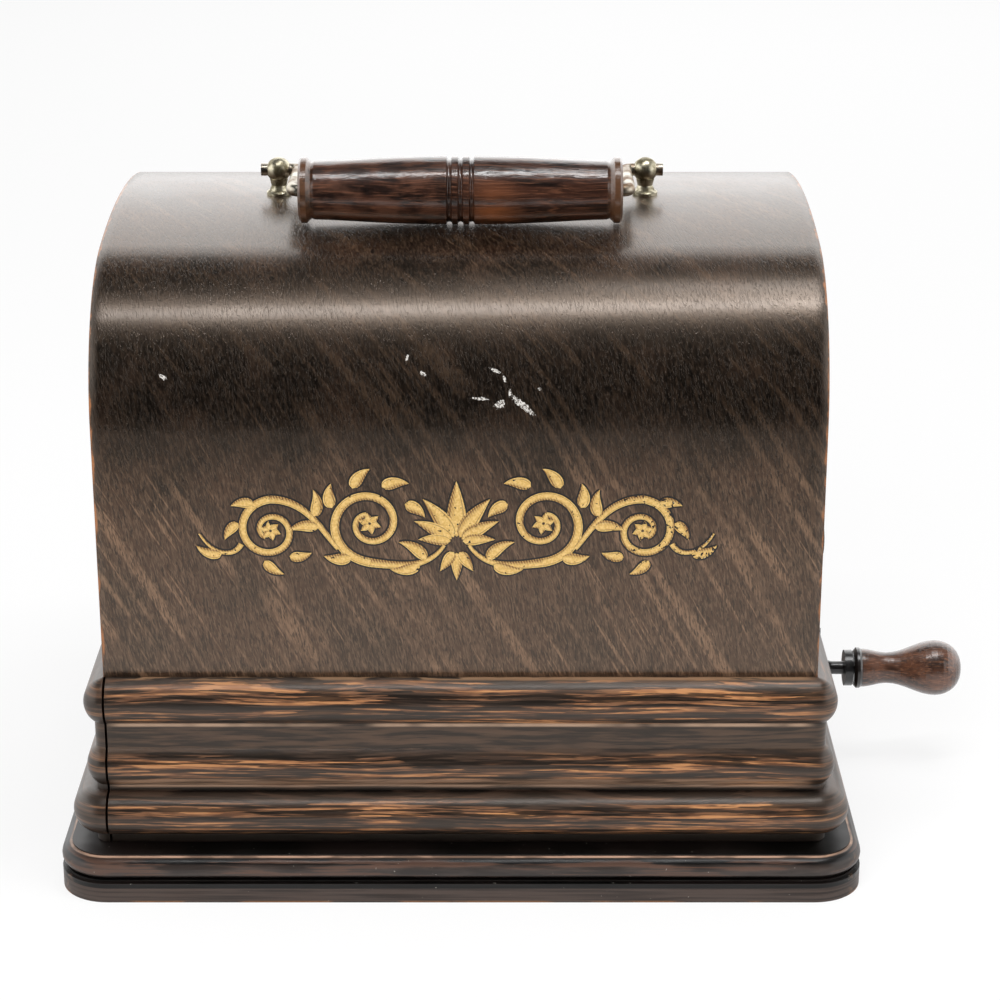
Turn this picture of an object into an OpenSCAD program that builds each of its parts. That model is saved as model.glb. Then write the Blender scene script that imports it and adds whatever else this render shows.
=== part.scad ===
// Cylinder phonograph in an oak carrying case: wooden base, lift-off lid with an arched top,
// spring motor in a cast-iron case, tapered mandrel, feed screw, carriage and reproducer.
// X runs to the right (crank side), Y to the back, Z up; the origin is the centre of the underside.

/* [Lid] */
// Width of the lid over its end panels
lid_w = 235; // [225:1:260]
// Depth of the lid over its front and back faces
lid_d = 186; // [184:1:200]
// Height of the lid's crown above the underside of the base
crown_z = 214.2; // [212:0.2:230]
// Rise of the arched top above the straight front and back
arch_rise = 54; // [52:1:60]
// Radius of the arch where it leaves the straight front
shoulder_r = 50; // [46:1:51]
// Thickness of the bent sheet
sheet_t = 5; // [3:0.5:6]
// Thickness of the end panels
end_t = 9; // [6:0.5:10]
// Height of the seam between the sheet and the mouldings
seam_z = 74.5; // [72:0.5:80]
// Gap between the lid's underside and the base board
lid_rest_gap = 0.3; // [0.1:0.1:1]
// Open joint between the front moulding and the left one
open_joint = 0.8; // [0.1:0.1:1.5]

/* [Mouldings] */
// Projection of the upper and lower bulges beyond the lid
bulge_out = 7; // [5:0.5:9]
// Radius of the two bulges
bulge_r = 8.6; // [8:0.1:10]
// Height of the upper bulge's centre
upper_bulge_z = 66; // [65:0.5:68]
// Height of the lower bulge's centre
lower_bulge_z = 43.5; // [42:0.5:45]
// Projection of the cove between the bulges
cove_out = 3.6; // [2:0.2:5]
// Projection of the bottom roll
roll_out = 12.1; // [10:0.1:13]
// Radius of the bottom roll
roll_r = 7.5; // [6:0.1:8]
// Height of the bottom roll's centre
roll_z = 27.5; // [27:0.5:29]

/* [Base] */
// Projection of the base beyond the lid on every side
base_out = 16.8; // [16:0.1:20]
// Height of the top of the base board
board_z = 16; // [15:0.2:17]
// Height of the plinth under the base board
plinth_h = 7.6; // [6:0.2:9]
// Height of the fine groove above the plinth
groove_h = 0.7; // [0.4:0.1:1.2]
// Depth of that groove
groove_depth = 1.4; // [0.6:0.1:3]
// Flat step inside the rounded edge of the base board
quirk_out = 13.2; // [12.6:0.1:14]
// Width of the strips that keep the lid in place
strip_w = 5; // [3:0.5:6]
// Height of those strips
strip_h = 7; // [4:0.5:9]

/* [Handle] */
// Distance between the two posts
post_gap = 125.4; // [118:0.2:134]
// Height of the pivot above the crown of the lid
pivot_up = 8.5; // [8:0.1:11]
// Diameter of the ball on each post
ball_d = 8.5; // [7.5:0.1:10]
// Diameter of the bail's rod
bail_d = 4.2; // [3:0.1:4.6]
// Reach of the bail from its pivot to the grip's centre line
bail_reach = 34; // [30:0.5:40]
// Height of the lying grip above the pivot
grip_lift = 1.1; // [1:0.1:2]
// Gap between the grip and each arm of the bail
grip_play = 0.4; // [0.3:0.1:3]
// Largest diameter of the grip
grip_d = 22.4; // [18:0.2:22.4]
// Diameter of the grip's end flanges
grip_end_d = 21.6; // [18:0.2:22]

/* [Crank] */
// Height of the winding shaft
shaft_z = 88; // [86:0.5:90]
// Diameter of the winding shaft
shaft_d = 8; // [6:0.5:9]
// Length of the crank from the shaft to the knob's centre line
crank_len = 51.2; // [50:0.2:56]
// Thickness of the crank's flat bar
crank_bar_t = 3; // [2:0.2:3.2]
// Distance from the lid's end to the flat bar
crank_gap = 8.3; // [8.2:0.1:9]
// Diameter of the crank's round rod
crank_rod_d = 4.8; // [4:0.1:5]
// Length of the knob
knob_len = 39.3; // [34:0.5:44]
// Largest diameter of the knob
knob_d = 20; // [16:0.5:22]
// Diameter of the knob's waist
knob_waist_d = 11.2; // [10:0.2:13]
// Diameter of the knob's inner flange
knob_flange_d = 14.9; // [13:0.2:17]
// Width of the slot in the lid that passes the shaft
slot_w = 16; // [14:0.5:20]

/* [Motor] */
// Room between the lid's end panels and the cast case
case_side_gap = 18.5; // [17:0.5:20]
// Room between the lid's front and back rails and the cast case
case_front_gap = 18; // [16:0.5:19]
// Height of the top of the cast case
deck_z = 117; // [117:0.2:118]
// Thickness of the case's top plate
deck_t = 3.4; // [3:0.1:3.4]
// Thickness of the case's walls
case_wall = 5; // [3:0.5:6]
// Thickness of the motor plates
plate_t = 3; // [2:0.2:4]
// Thickness of the gear wheels
gear_t = 4; // [3:0.2:4.4]
// Diameter of the spring barrel
barrel_d = 46; // [40:0.5:46]
// Length of the spring barrel
barrel_len = 42; // [36:0.5:44]
// Thickness of the mainspring
spring_t = 0.6; // [0.4:0.1:0.8]
// Turns of the mainspring
spring_turns = 9; // [6:1:11]
// Diameter of the arbors that carry the wheels
arbor_d = 6; // [4:0.2:6]

/* [Gears] */
// Tooth size of the wheels, pitch diameter over teeth
tooth_size = 0.8; // [0.79:0.005:0.805]
// Teeth of the great wheel on the barrel
great_teeth = 58; // [56:1:58]
// Teeth of the small pinions
pinion_teeth = 10; // [10:1:11]
// Teeth of the second wheel
second_teeth = 72; // [70:1:73]
// Teeth of the mandrel gear
mandrel_teeth = 24; // [23:1:25]
// Teeth of the feed gear
feed_teeth = 60; // [58:1:61]
// Play between meshing teeth
backlash = 0.16; // [0.1:0.02:0.3]
// Extra distance between meshing arbors
mesh_gap = 0.08; // [0:0.02:0.15]

/* [Mandrel] */
// Height of the mandrel's centre line
mandrel_z = 147; // [146.5:0.1:147.5]
// Distance of the mandrel's centre line in front of the shaft
mandrel_y = -14; // [-15:0.5:-13]
// Length of the mandrel
mandrel_len = 106; // [100:1:108]
// Diameter of the mandrel's large end
mandrel_big_d = 46.5; // [44:0.1:47]
// Diameter of the mandrel's small end
mandrel_small_d = 43; // [40:0.1:44]
// Thickness of the mandrel's wall
mandrel_wall = 2.2; // [1.4:0.1:3]
// Diameter of a record that fits over the mandrel
record_d = 55; // [54:0.5:56]

/* [Carriage] */
// Diameter of the back rod
rod_d = 10; // [8:0.5:11]
// Distance of the back rod behind the shaft
rod_y = 52; // [51.5:0.5:53]
// Height of the back rod
rod_z = 148; // [147:0.5:149]
// Diameter of the feed screw
feed_d = 8; // [6:0.5:9]
// Length of the carriage sleeve
sleeve_len = 36; // [30:1:38]
// Travel of the carriage
travel = 94; // [80:1:94]
// Thickness of the arm over the mandrel
arm_t = 4; // [3:0.2:4.6]
// Diameter of the reproducer
reproducer_d = 38; // [34:0.5:40]
// Outer diameter of the neck that the horn fits on
neck_d = 12; // [10:0.5:13]
// Height of that neck
neck_h = 11; // [8:0.5:11.4]

/* [Clearances] */
// Radial clearance of shafts in their bearings
run_fit = 0.05; // [0.02:0.01:0.09]
// Gap between curved pieces that only pass each other
pass_gap = 0.3; // [0.3:0.05:0.6]

/* [Hidden] */

$fn = 48;
eps = 0.01;
lid_x = lid_w / 2;
lid_y = lid_d / 2;
spring_z = crown_z - arch_rise;
shoulder_y = lid_y - shoulder_r;
crown_r = (pow(shoulder_y, 2) + pow(arch_rise, 2) - pow(shoulder_r, 2)) / (2 * (arch_rise - shoulder_r));
crown_cz = crown_z - crown_r;
lid_z0 = board_z + lid_rest_gap;
inner_x = lid_x - end_t;
case_x = inner_x - case_side_gap;
case_y = lid_y - end_t - case_front_gap;
deck_under = deck_z - deck_t;
slot_r = slot_w / 2;
roll_top = roll_z + roll_r;
pivot_z = crown_z + pivot_up;
post_x = post_gap / 2;
bar_x = lid_x + crank_gap;
rod_x = bar_x + crank_bar_t / 2;
knob_x = rod_x + 14.7;

// Centre lines of the arbors, as [y, z]
shaft_p = [0, shaft_z];
mandrel_p = [mandrel_y, mandrel_z];
function mesh(a, b) = (a + b) * tooth_size / 2 + mesh_gap;
function meet(p, a, q, b) =
    let (v = q - p, d = norm(v), u = v / d, x = (d * d + a * a - b * b) / (2 * d), h = sqrt(a * a - x * x))
    p + x * u + h * [-u[1], u[0]];
second_p = meet(shaft_p, mesh(great_teeth, pinion_teeth), mandrel_p, mesh(second_teeth, mandrel_teeth));
function polar(r, a) = [r * cos(a), r * sin(a)];
feed_dir = 8;
feed_p = mandrel_p + polar(mesh(mandrel_teeth, feed_teeth), feed_dir);
governor_dir = -95;
governor_p = second_p + polar(mesh(second_teeth, pinion_teeth), governor_dir);
rod_p = [rod_y, rod_z];

// Stations along X, set out for a case 180 wide and drawn in or out with the case
station_case_w = 180;
bay = 2 * case_x / station_case_w;
outer_stand_x = -86 * bay;
outer_stand_t = 10;
train_x = -68 * bay;
left_plate_x = -60 * bay;
inner_stand_x = -58 * bay;
inner_stand_t = 12;
middle_plate_x = -20 * bay;
right_stand_x = 74 * bay;
right_stand_t = 8;
great_x = middle_plate_x + 6;
barrel_x = great_x + gear_t;
right_plate_x = barrel_x + barrel_len + 8;
ratchet_x = right_plate_x + plate_t + 2;
drum_x = inner_stand_x + inner_stand_t + 2;
arm_x = drum_x + 8;
sleeve_x = arm_x - 24;
disc_x = middle_plate_x - 8;

// Angle between two points, and the phase that sets one gear's gap on another's tooth
function dir(p, q) = atan2(q[1] - p[1], q[0] - p[0]);
function mesh_phase(p, q, n1, phase1, n2) =
    let (a = dir(p, q), t = (a - phase1) * n1 / 360)
    a + 180 - (0.5 - t) * 360 / n2;
second_pinion_phase = mesh_phase(shaft_p, second_p, great_teeth, 0, pinion_teeth);
second_phase = 0;
mandrel_phase = mesh_phase(second_p, mandrel_p, second_teeth, second_phase, mandrel_teeth);
feed_phase = mesh_phase(mandrel_p, feed_p, mandrel_teeth, mandrel_phase, feed_teeth);
governor_phase = mesh_phase(second_p, governor_p, second_teeth, second_phase, pinion_teeth);

// Reproducer levels, from the top of a record upwards
record_top = mandrel_z + record_d / 2;
weight_z = record_top + 1.2;
weight_t = 2.6;
box_z = weight_z + weight_t + 1.8;
box_h = 7.4;
eye_z = box_z + 1.2;
guide_y = -50;
guide_z = eye_z - 7;

// A polygon drawn in the YZ plane and extruded along X
module along_x(x0, len) {
    translate([x0, 0, 0])
        rotate([90, 0, 90])
            linear_extrude(len) children();
}

// A round bar along X between two stations
module bar_x(p, d, x0, x1) {
    translate([x0, p[0], p[1]])
        rotate([0, 90, 0])
            cylinder(d = d, h = x1 - x0);
}

// A turned shape along X
module turned_x(p, x0) {
    translate([x0, p[0], p[1]])
        rotate([0, 90, 0])
            rotate_extrude() children();
}

module disc(p, d) {
    translate(p) circle(d = d);
}

module round_rect(x0, x1, y0, y1, r) {
    translate([x0 + r, y0]) square([x1 - x0 - 2 * r, y1 - y0]);
    translate([x0, y0 + r]) square([x1 - x0, y1 - y0 - 2 * r]);
    for (x = [x0 + r, x1 - r], y = [y0 + r, y1 - r]) disc([x, y], 2 * r);
}

// The arched section of the lid, drawn in from its outside by a distance
module arch(inset, z0) {
    hw = lid_y - inset;
    fan = 1.4;
    fan_z = crown_cz + (spring_z - crown_cz) * fan;
    translate([-hw, z0]) square([2 * hw, spring_z - z0]);
    for (s = [-1, 1]) disc([s * shoulder_y, spring_z], 2 * (shoulder_r - inset));
    intersection() {
        disc([0, crown_cz], 2 * (crown_r - inset));
        polygon([[-shoulder_y, spring_z], [shoulder_y, spring_z], [shoulder_y * fan, fan_z],
            [-shoulder_y * fan, fan_z]]);
    }
}

// Section of the mouldings between two heights: x is the distance outwards from the lid's face
module moulding_section(inner, low, high) {
    bulge_c = bulge_out - bulge_r;
    intersection() {
        translate([-inner, low]) square([inner + 30, high - low]);
        union() {
            translate([-inner, lid_z0]) square([inner + 0.3, seam_z - lid_z0]);
            disc([bulge_c, upper_bulge_z], 2 * bulge_r);
            disc([bulge_c - 0.2, lower_bulge_z], 2 * bulge_r);
            translate([-inner, lower_bulge_z]) square([inner + cove_out, upper_bulge_z - lower_bulge_z - 5]);
            translate([-inner, roll_z]) square([inner + cove_out + 0.4, lower_bulge_z - roll_z]);
            disc([roll_out - roll_r, roll_z], 2 * roll_r);
            translate([-inner, lid_z0]) square([inner + roll_out - roll_r, roll_z - lid_z0]);
        }
    }
}

// Upper moulding with its two bulges and cove
module upper_section(inner) {
    moulding_section(inner, roll_top, seam_z);
}

// Bottom roll under it
module roll_section(inner) {
    moulding_section(inner, lid_z0, roll_top);
}

// Places a section on the +X side of a rectangle and runs it along Y
module side_run(hx, y0, y1) {
    translate([hx, y1, 0])
        rotate([90, 0, 0])
            linear_extrude(y1 - y0) children();
}

// Turns a section round one corner, a quarter turn from angle a
module corner_run(x, y, a) {
    translate([x, y, 0])
        rotate([0, 0, a])
            rotate_extrude(angle = 90) children();
}

// A board over the lid's plan whose edge follows a section
module edged_board(z0, z1) {
    translate([-lid_x, -lid_y, z0]) cube([lid_w, lid_d, z1 - z0]);
    for (a = [0, 180]) rotate([0, 0, a]) side_run(lid_x, -lid_y, lid_y) children();
    for (a = [90, -90]) rotate([0, 0, a]) side_run(lid_y, -lid_x, lid_x) children();
    corner_run(lid_x, lid_y, 0) children();
    corner_run(-lid_x, lid_y, 90) children();
    corner_run(-lid_x, -lid_y, 180) children();
    corner_run(lid_x, -lid_y, 270) children();
}

module plinth() {
    color([0.09, 0.07, 0.06])
        edged_board(0, plinth_h) {
            union() {
                square([base_out, plinth_h - groove_h]);
                square([base_out - groove_depth, plinth_h]);
            }
        }
}

module base_board() {
    nose_r = (board_z - plinth_h - 0.6) / 2;
    color([0.07, 0.055, 0.05])
        difference() {
            edged_board(plinth_h, board_z) {
                union() {
                    translate([0, plinth_h]) square([quirk_out, board_z - plinth_h]);
                    translate([0, plinth_h]) square([base_out - nose_r, nose_r * 2]);
                    disc([base_out - nose_r, plinth_h + nose_r], 2 * nose_r);
                }
            }
            screw_holes(case_screw_places(), board_z - screw_bite, screw_bite + 1);
        }
}

module locating_strips() {
    gx = inner_x - 0.6;
    gy = lid_y - end_t - 0.6;
    half_x = case_x - 10;
    half_y = case_y - 16;
    color([0.3, 0.2, 0.12])
        translate([0, 0, board_z]) {
            for (s = [-1, 1]) {
                translate([s * (gx - strip_w / 2) - strip_w / 2, -half_y, 0]) cube([strip_w, 2 * half_y, strip_h]);
                translate([-half_x, s * (gy - strip_w / 2) - strip_w / 2, 0]) cube([2 * half_x, strip_w, strip_h]);
            }
        }
}

// Cast case: walls and top plate in one, open below and behind, on a screwed foot
case_r = 14;
foot_out = 8;
foot_h = 5;
module motor_case() {
    iy = case_y - case_wall;
    ix = case_x - case_wall;
    color([0.05, 0.05, 0.055])
        difference() {
            union() {
                translate([0, 0, board_z]) linear_extrude(deck_z - board_z)
                    round_rect(-case_x, case_x, -case_y, case_y, case_r);
                translate([0, 0, board_z]) linear_extrude(foot_h)
                    round_rect(-case_x - foot_out, case_x + foot_out, -case_y - foot_out,
                        case_y + foot_out, case_r + foot_out);
                translate([0, 0, deck_z - 9]) linear_extrude(4)
                    round_rect(-case_x - 2, case_x + 2, -case_y - 2, case_y + 2, case_r + 2);
            }
            translate([0, 0, board_z - 1]) linear_extrude(deck_under - board_z + 1)
                round_rect(-ix, ix, -iy, iy, case_r - case_wall);
            translate([-ix + case_r, iy - 1, board_z + foot_h + 4])
                cube([2 * (ix - case_r), case_wall + 6, deck_under - board_z - foot_h - 14]);
            translate([0, -case_y + 1.2, 0]) rotate([90, 0, 0]) linear_extrude(4)
                difference() {
                    round_rect(-case_x + 18, case_x - 18, board_z + 16, deck_z - 18, 8);
                    round_rect(-case_x + 21, case_x - 21, board_z + 19, deck_z - 21, 6);
                }
            wheel_slot();
            bar_x(shaft_p, bush_d, ix - 1, case_x + 1);
            translate([speed_x, speed_y, deck_under - 1]) cylinder(d = speed_d + 2 * run_fit, h = deck_t + 2);
            translate([stop_x, stop_y, deck_under - 1]) cylinder(d = stop_d + 2 * run_fit, h = deck_t + 2);
            screw_holes(case_screw_places(), board_z - 1, foot_h + 2);
            screw_holes(stand_screw_places(), deck_under - 1, deck_t + 2);
        }
}

// Slot in the top plate for the second wheel
module wheel_slot() {
    r = second_teeth * tooth_size / 2 + 2;
    c = sqrt(r * r - pow(deck_under - second_p[1], 2));
    translate([train_x - 3, second_p[0] - c - 2, deck_under - 1]) cube([gear_t + 6, 2 * c + 4, deck_t + 2]);
}

function case_screw_places() = [for (x = [-1, 1], y = [-1, 1]) [x * (case_x - 16), y * (case_y + foot_out / 2)]];

screw_d = 2.9;
screw_bite = 4;
module case_screws() {
    color([0.25, 0.24, 0.23])
        for (p = case_screw_places()) translate([p[0], p[1], 0]) cheese_screw(board_z + foot_h, foot_h + screw_bite);
}

// A slotted cheese-head screw whose head seats at height z and whose shank goes down by len
module cheese_screw(z, len) {
    difference() {
        union() {
            translate([0, 0, z]) cylinder(d = 6, h = 2.2);
            translate([0, 0, z - len]) cylinder(d = screw_d, h = len + eps);
        }
        translate([-4, -0.4, z + 1.3]) cube([8, 0.8, 2]);
    }
}

// Motor plates
plate_y0 = -44;
plate_y1 = 32;
plate_z0 = 54;
bush_d = 14;
pillar_d = 7;
pillar_places = [[-38, 60], [26, 60], [27, 106], [-38, 106]];
// tab is the side, -1 or 1, on which the plate's screwing tabs stand out
module plate_blank(x0, tab) {
    difference() {
        union() {
            along_x(x0, plate_t) round_rect(plate_y0, plate_y1, plate_z0, deck_under, 6);
            for (y = [plate_y0 + 8, plate_y1 - 8])
                translate([x0 - (tab < 0 ? 6 : 0), y - 6, deck_under - 2.4]) cube([plate_t + 6, 12, 2.4]);
        }
        bar_x(shaft_p, shaft_d + 2 * run_fit, x0 - 1, x0 + plate_t + 1);
    }
}

module left_motor_plate() {
    color([0.66, 0.55, 0.28])
        difference() {
            plate_blank(left_plate_x, 1);
            bar_x(second_p, arbor_d + 2 * run_fit, left_plate_x - 1, left_plate_x + plate_t + 1);
            bar_x(governor_p, 4 + 2 * run_fit, left_plate_x - 1, left_plate_x + plate_t + 1);
        }
}

module middle_motor_plate() {
    x1 = middle_plate_x + plate_t;
    color([0.66, 0.55, 0.28])
        difference() {
            union() {
                plate_blank(middle_plate_x, -1);
                for (y = [speed_pivot_y0 - 3, speed_pivot_y1])
                    translate([speed_pivot_x - 3.5, y, speed_pivot_z - 3.5]) cube([middle_plate_x - speed_pivot_x + 3.5, 3, 7]);
            }
            bar_x(second_p, arbor_d + 2 * run_fit, middle_plate_x - 1, x1 + 1);
            bar_x(governor_p, 4 + 2 * run_fit, middle_plate_x - 1, x1 + 1);
            for (p = pillar_places) bar_x(p, pillar_d + 2 * run_fit, middle_plate_x - 1, x1 + 1);
            translate([speed_pivot_x, speed_pivot_y0 - 4, speed_pivot_z]) rotate([-90, 0, 0])
                cylinder(d = speed_pivot_d + 2 * run_fit, h = speed_pivot_y1 - speed_pivot_y0 + 8);
        }
}

module right_motor_plate() {
    color([0.66, 0.55, 0.28])
        union() {
            plate_blank(right_plate_x, -1);
            bar_x(click_p, 8, right_plate_x + plate_t - eps, ratchet_x);
            bar_x(click_p, click_bore, right_plate_x, ratchet_x + ratchet_t + 1.2);
            bar_x(click_p, 7, ratchet_x + ratchet_t + 0.3, ratchet_x + ratchet_t + 1.5);
        }
}

module motor_pillars() {
    color([0.55, 0.55, 0.56])
        for (p = pillar_places) {
            bar_x(p, pillar_d, left_plate_x + plate_t, right_plate_x);
            for (x = [left_plate_x, right_plate_x + plate_t])
                along_x(x - (x < 0 ? 2.4 : 0), 2.4) translate(p) circle(d = 8, $fn = 6);
        }
}

// Bearing stands on the top plate
module stand_leg(x0, t, y0, y1, top) {
    along_x(x0, t) polygon([[y0, deck_z], [y1, deck_z], top[1], top[0]]);
}

module stand_foot(x0, t, y0, y1) {
    translate([x0, y0, deck_z]) cube([t, y1 - y0, 4]);
}

module rear_stand(x0, t) {
    m = [[feed_p[0] - 6, feed_p[1]], [rod_p[0] + 6, rod_p[1]]];
    difference() {
        union() {
            stand_leg(x0, t, feed_p[0] - 7, rod_p[0] + 5, m);
            bar_x(feed_p, 15, x0, x0 + t);
            bar_x(rod_p, rod_d + 8, x0, x0 + t);
            stand_foot(x0, t, feed_p[0] - rear_screw - 4, case_y - 1);
        }
        along_x(x0 - 1, t + 2) polygon([[feed_p[0] + 1, deck_z + 9], [rod_p[0] - 4, deck_z + 9],
            [rod_p[0] - 5, rod_p[1] - 12], [feed_p[0] + 6, feed_p[1] - 12]]);
        bar_x(feed_p, feed_d + 2 * run_fit, x0 - 1, x0 + t + 1);
        bar_x(rod_p, rod_d, x0 - 1, x0 + t + 1);
        screw_holes(stand_screw_places(), deck_z - 1, 6);
    }
}

module front_stand(x0, t) {
    m = [[mandrel_p[0] - 8, mandrel_p[1]], [mandrel_p[0] + 8, mandrel_p[1]]];
    difference() {
        union() {
            stand_leg(x0, t, mandrel_p[0] - 15, mandrel_p[0] + 15, m);
            bar_x(mandrel_p, 19, x0, x0 + t);
            stand_foot(x0, t, mandrel_p[0] - front_screw - 3.5, mandrel_p[0] + front_screw + 3.5);
        }
        bar_x(mandrel_p, mandrel_shaft_d + 2 * run_fit, x0 - 1, x0 + t + 1);
        screw_holes(stand_screw_places(), deck_z - 1, 6);
    }
}

module screw_holes(places, z, h) {
    for (p = places) translate([p[0], p[1], z]) cylinder(d = screw_d + 2 * run_fit, h = h);
}

module outer_bearing_stand() {
    color([0.06, 0.06, 0.065])
        union() {
            front_stand(outer_stand_x, outer_stand_t);
            rear_stand(outer_stand_x, outer_stand_t);
        }
}

module inner_bearing_stand() {
    color([0.06, 0.06, 0.065]) front_stand(inner_stand_x, inner_stand_t);
}

module right_bearing_stand() {
    color([0.06, 0.06, 0.065]) rear_stand(right_stand_x, right_stand_t);
}

front_screw = 20.5;
rear_screw = 12;
function stand_screw_places() =
    let (xo = outer_stand_x + outer_stand_t / 2, xi = inner_stand_x + inner_stand_t / 2,
        xr = right_stand_x + right_stand_t / 2, back = case_y - 4.5)
    [[xo, mandrel_p[0] - front_screw], [xo, back], [xi, mandrel_p[0] - front_screw],
        [xi, mandrel_p[0] + front_screw], [xr, feed_p[0] - rear_screw], [xr, back]];

module stand_screws() {
    color([0.3, 0.3, 0.31])
        for (p = stand_screw_places()) translate([p[0], p[1], 0]) cheese_screw(deck_z + 4, deck_t + 4);
}

module back_rod() {
    color([0.72, 0.72, 0.73]) bar_x(rod_p, rod_d, outer_stand_x - 1, right_stand_x + right_stand_t + 1);
}

module guide_bar() {
    x0 = -case_x + 6;
    x1 = case_x - 6;
    color([0.6, 0.6, 0.6])
        union() {
            translate([x0, guide_y - 3, guide_z - 5]) cube([x1 - x0, 6, 5]);
            for (x = [x0, x1 - 8]) {
                translate([x, guide_y - 3, deck_z]) cube([8, 6, guide_z - 5 - deck_z + eps]);
                translate([x, guide_y - 6, deck_z]) cube([8, 12, 4]);
            }
        }
}

module crank_bush() {
    color([0.7, 0.56, 0.28])
        difference() {
            union() {
                bar_x(shaft_p, bush_d, case_x - case_wall, case_x + eps);
                bar_x(shaft_p, bush_d + 6, case_x, case_x + 2.5);
            }
            bar_x(shaft_p, shaft_d + 2 * run_fit, case_x - case_wall - 1, case_x + 4);
        }
}

// Lid
module lid_cover() {
    color([0.2, 0.13, 0.09])
        difference() {
            along_x(-lid_x, lid_w) difference() {
                arch(0, seam_z);
                arch(sheet_t, seam_z - 1);
            }
            for (s = [-1, 1]) translate([s * post_x, 0, crown_z - sheet_t - 2]) cylinder(d = 4.1, h = sheet_t + 4);
        }
}

module crank_slot() {
    bar_x(shaft_p, slot_w, inner_x - 1, lid_x + 30);
    translate([inner_x - 1, -slot_r, 0]) cube([end_t + 31, slot_w, shaft_z]);
}

module lid_end_left() {
    color([0.18, 0.12, 0.08]) along_x(-lid_x, end_t) arch(sheet_t, seam_z);
}

module lid_end_right() {
    color([0.18, 0.12, 0.08])
        difference() {
            along_x(inner_x, end_t) arch(sheet_t, seam_z);
            crank_slot();
        }
}

// Front and back rails, with the mouldings' section on their outer face
module front_rail(x0, x1) {
    translate([x0, -lid_y, 0])
        rotate([90, 0, 90])
            linear_extrude(x1 - x0) mirror([1, 0]) children();
}

// Right side with both corners: children are the section over the end panel and the section outside it
module right_run() {
    side_run(lid_x, -lid_y + end_t, lid_y - end_t) children(0);
    side_run(lid_x, -lid_y, lid_y) children(1);
    corner_run(lid_x, lid_y, 0) children(1);
    corner_run(lid_x, -lid_y, 270) children(1);
}

// Half of the right side, in front of the crank's slot or behind it
module right_half(s) {
    intersection() {
        right_run() {
            children(0);
            children(1);
        }
        translate([inner_x - 1, s > 0 ? slot_r : -lid_y - 40, 0]) cube([60, lid_y + 40 - slot_r, seam_z + 1]);
    }
}

module moulding_front() {
    color([0.25, 0.15, 0.09]) front_rail(-lid_x + open_joint, lid_x) upper_section(end_t);
}

module moulding_back() {
    color([0.25, 0.15, 0.09]) rotate([0, 0, 180]) front_rail(-lid_x, lid_x) upper_section(end_t);
}

module moulding_left() {
    color([0.22, 0.14, 0.09])
        rotate([0, 0, 180]) right_run() {
            upper_section(end_t);
            upper_section(0);
        }
}

module moulding_right_front() {
    color([0.22, 0.14, 0.09])
        right_half(-1) {
            upper_section(end_t);
            upper_section(0);
        }
}

module moulding_right_back() {
    color([0.22, 0.14, 0.09])
        right_half(1) {
            upper_section(end_t);
            upper_section(0);
        }
}

module roll_front() {
    color([0.25, 0.15, 0.09]) front_rail(-lid_x + open_joint, lid_x) roll_section(end_t);
}

module roll_back() {
    color([0.25, 0.15, 0.09]) rotate([0, 0, 180]) front_rail(-lid_x, lid_x) roll_section(end_t);
}

module roll_left() {
    color([0.22, 0.14, 0.09])
        rotate([0, 0, 180]) right_run() {
            roll_section(end_t);
            roll_section(0);
        }
}

module roll_right_front() {
    color([0.22, 0.14, 0.09])
        right_half(-1) {
            roll_section(end_t);
            roll_section(0);
        }
}

module roll_right_back() {
    color([0.22, 0.14, 0.09])
        right_half(1) {
            roll_section(end_t);
            roll_section(0);
        }
}

module lid_glue_blocks() {
    block = 10;
    z0 = board_z + strip_h + 2;
    color([0.42, 0.3, 0.18])
        for (sx = [-1, 1], sy = [-1, 1])
            translate([sx * (inner_x - block / 2) - block / 2, sy * (lid_y - end_t - block / 2) - block / 2, z0])
                cube([block, block, 40]);
}

// Handle
post_neck_d = 6.4;
post_foot_d = 8.6;
module handle_posts() {
    color([0.62, 0.6, 0.54])
        difference() {
            for (s = [-1, 1]) translate([s * post_x, 0, 0]) {
                translate([0, 0, crown_z]) rotate_extrude()
                    polygon([[0, 0], [post_foot_d / 2, 0], [post_foot_d / 2, 0.9], [post_foot_d / 2 - 0.5, 1.3],
                        [post_neck_d / 2, 1.6], [2.6, 3.2], [post_neck_d / 2, pivot_up - 3], [0, pivot_up]]);
                translate([0, 0, pivot_z]) sphere(d = ball_d);
                translate([0, 0, crown_z - sheet_t - 3.4]) cylinder(d = 4, h = sheet_t + 3.5);
                translate([0, 0, crown_z - sheet_t - 2.6]) linear_extrude(2.4) circle(d = 8, $fn = 6);
            }
            bar_x([0, pivot_z], bail_d + 2 * run_fit, -post_x - 8, post_x + 8);
        }
}

bail_bend = 2.4;
bail_arm_x = post_x - ball_d / 2 - pass_gap - bail_bend;
bail_dir = asin(grip_lift / bail_reach);
grip_y = -bail_reach * cos(bail_dir);
grip_len = 2 * (bail_arm_x - bail_d / 2 - grip_play);
module handle_bail() {
    pin_x = post_x + ball_d / 2 + 1.7;
    straight = bail_reach - 2 * bail_bend;
    color([0.45, 0.34, 0.25])
        translate([0, 0, pivot_z]) rotate([-bail_dir, 0, 0])
            for (s = [0, 1]) mirror([s, 0, 0]) {
                bar_x([0, 0], bail_d, bail_arm_x + bail_bend, pin_x);
                translate([bail_arm_x + bail_bend, -bail_bend, 0]) rotate([0, 0, 90])
                    rotate_extrude(angle = 90) disc([bail_bend, 0], bail_d);
                translate([bail_arm_x, -bail_bend, 0]) rotate([90, 0, 0]) cylinder(d = bail_d, h = straight);
                translate([bail_arm_x - bail_bend, -bail_reach + bail_bend, 0]) rotate([0, 0, -90])
                    rotate_extrude(angle = 90) disc([bail_bend, 0], bail_d);
                bar_x([-bail_reach, 0], bail_d, 0, bail_arm_x - bail_bend);
            }
}

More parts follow.
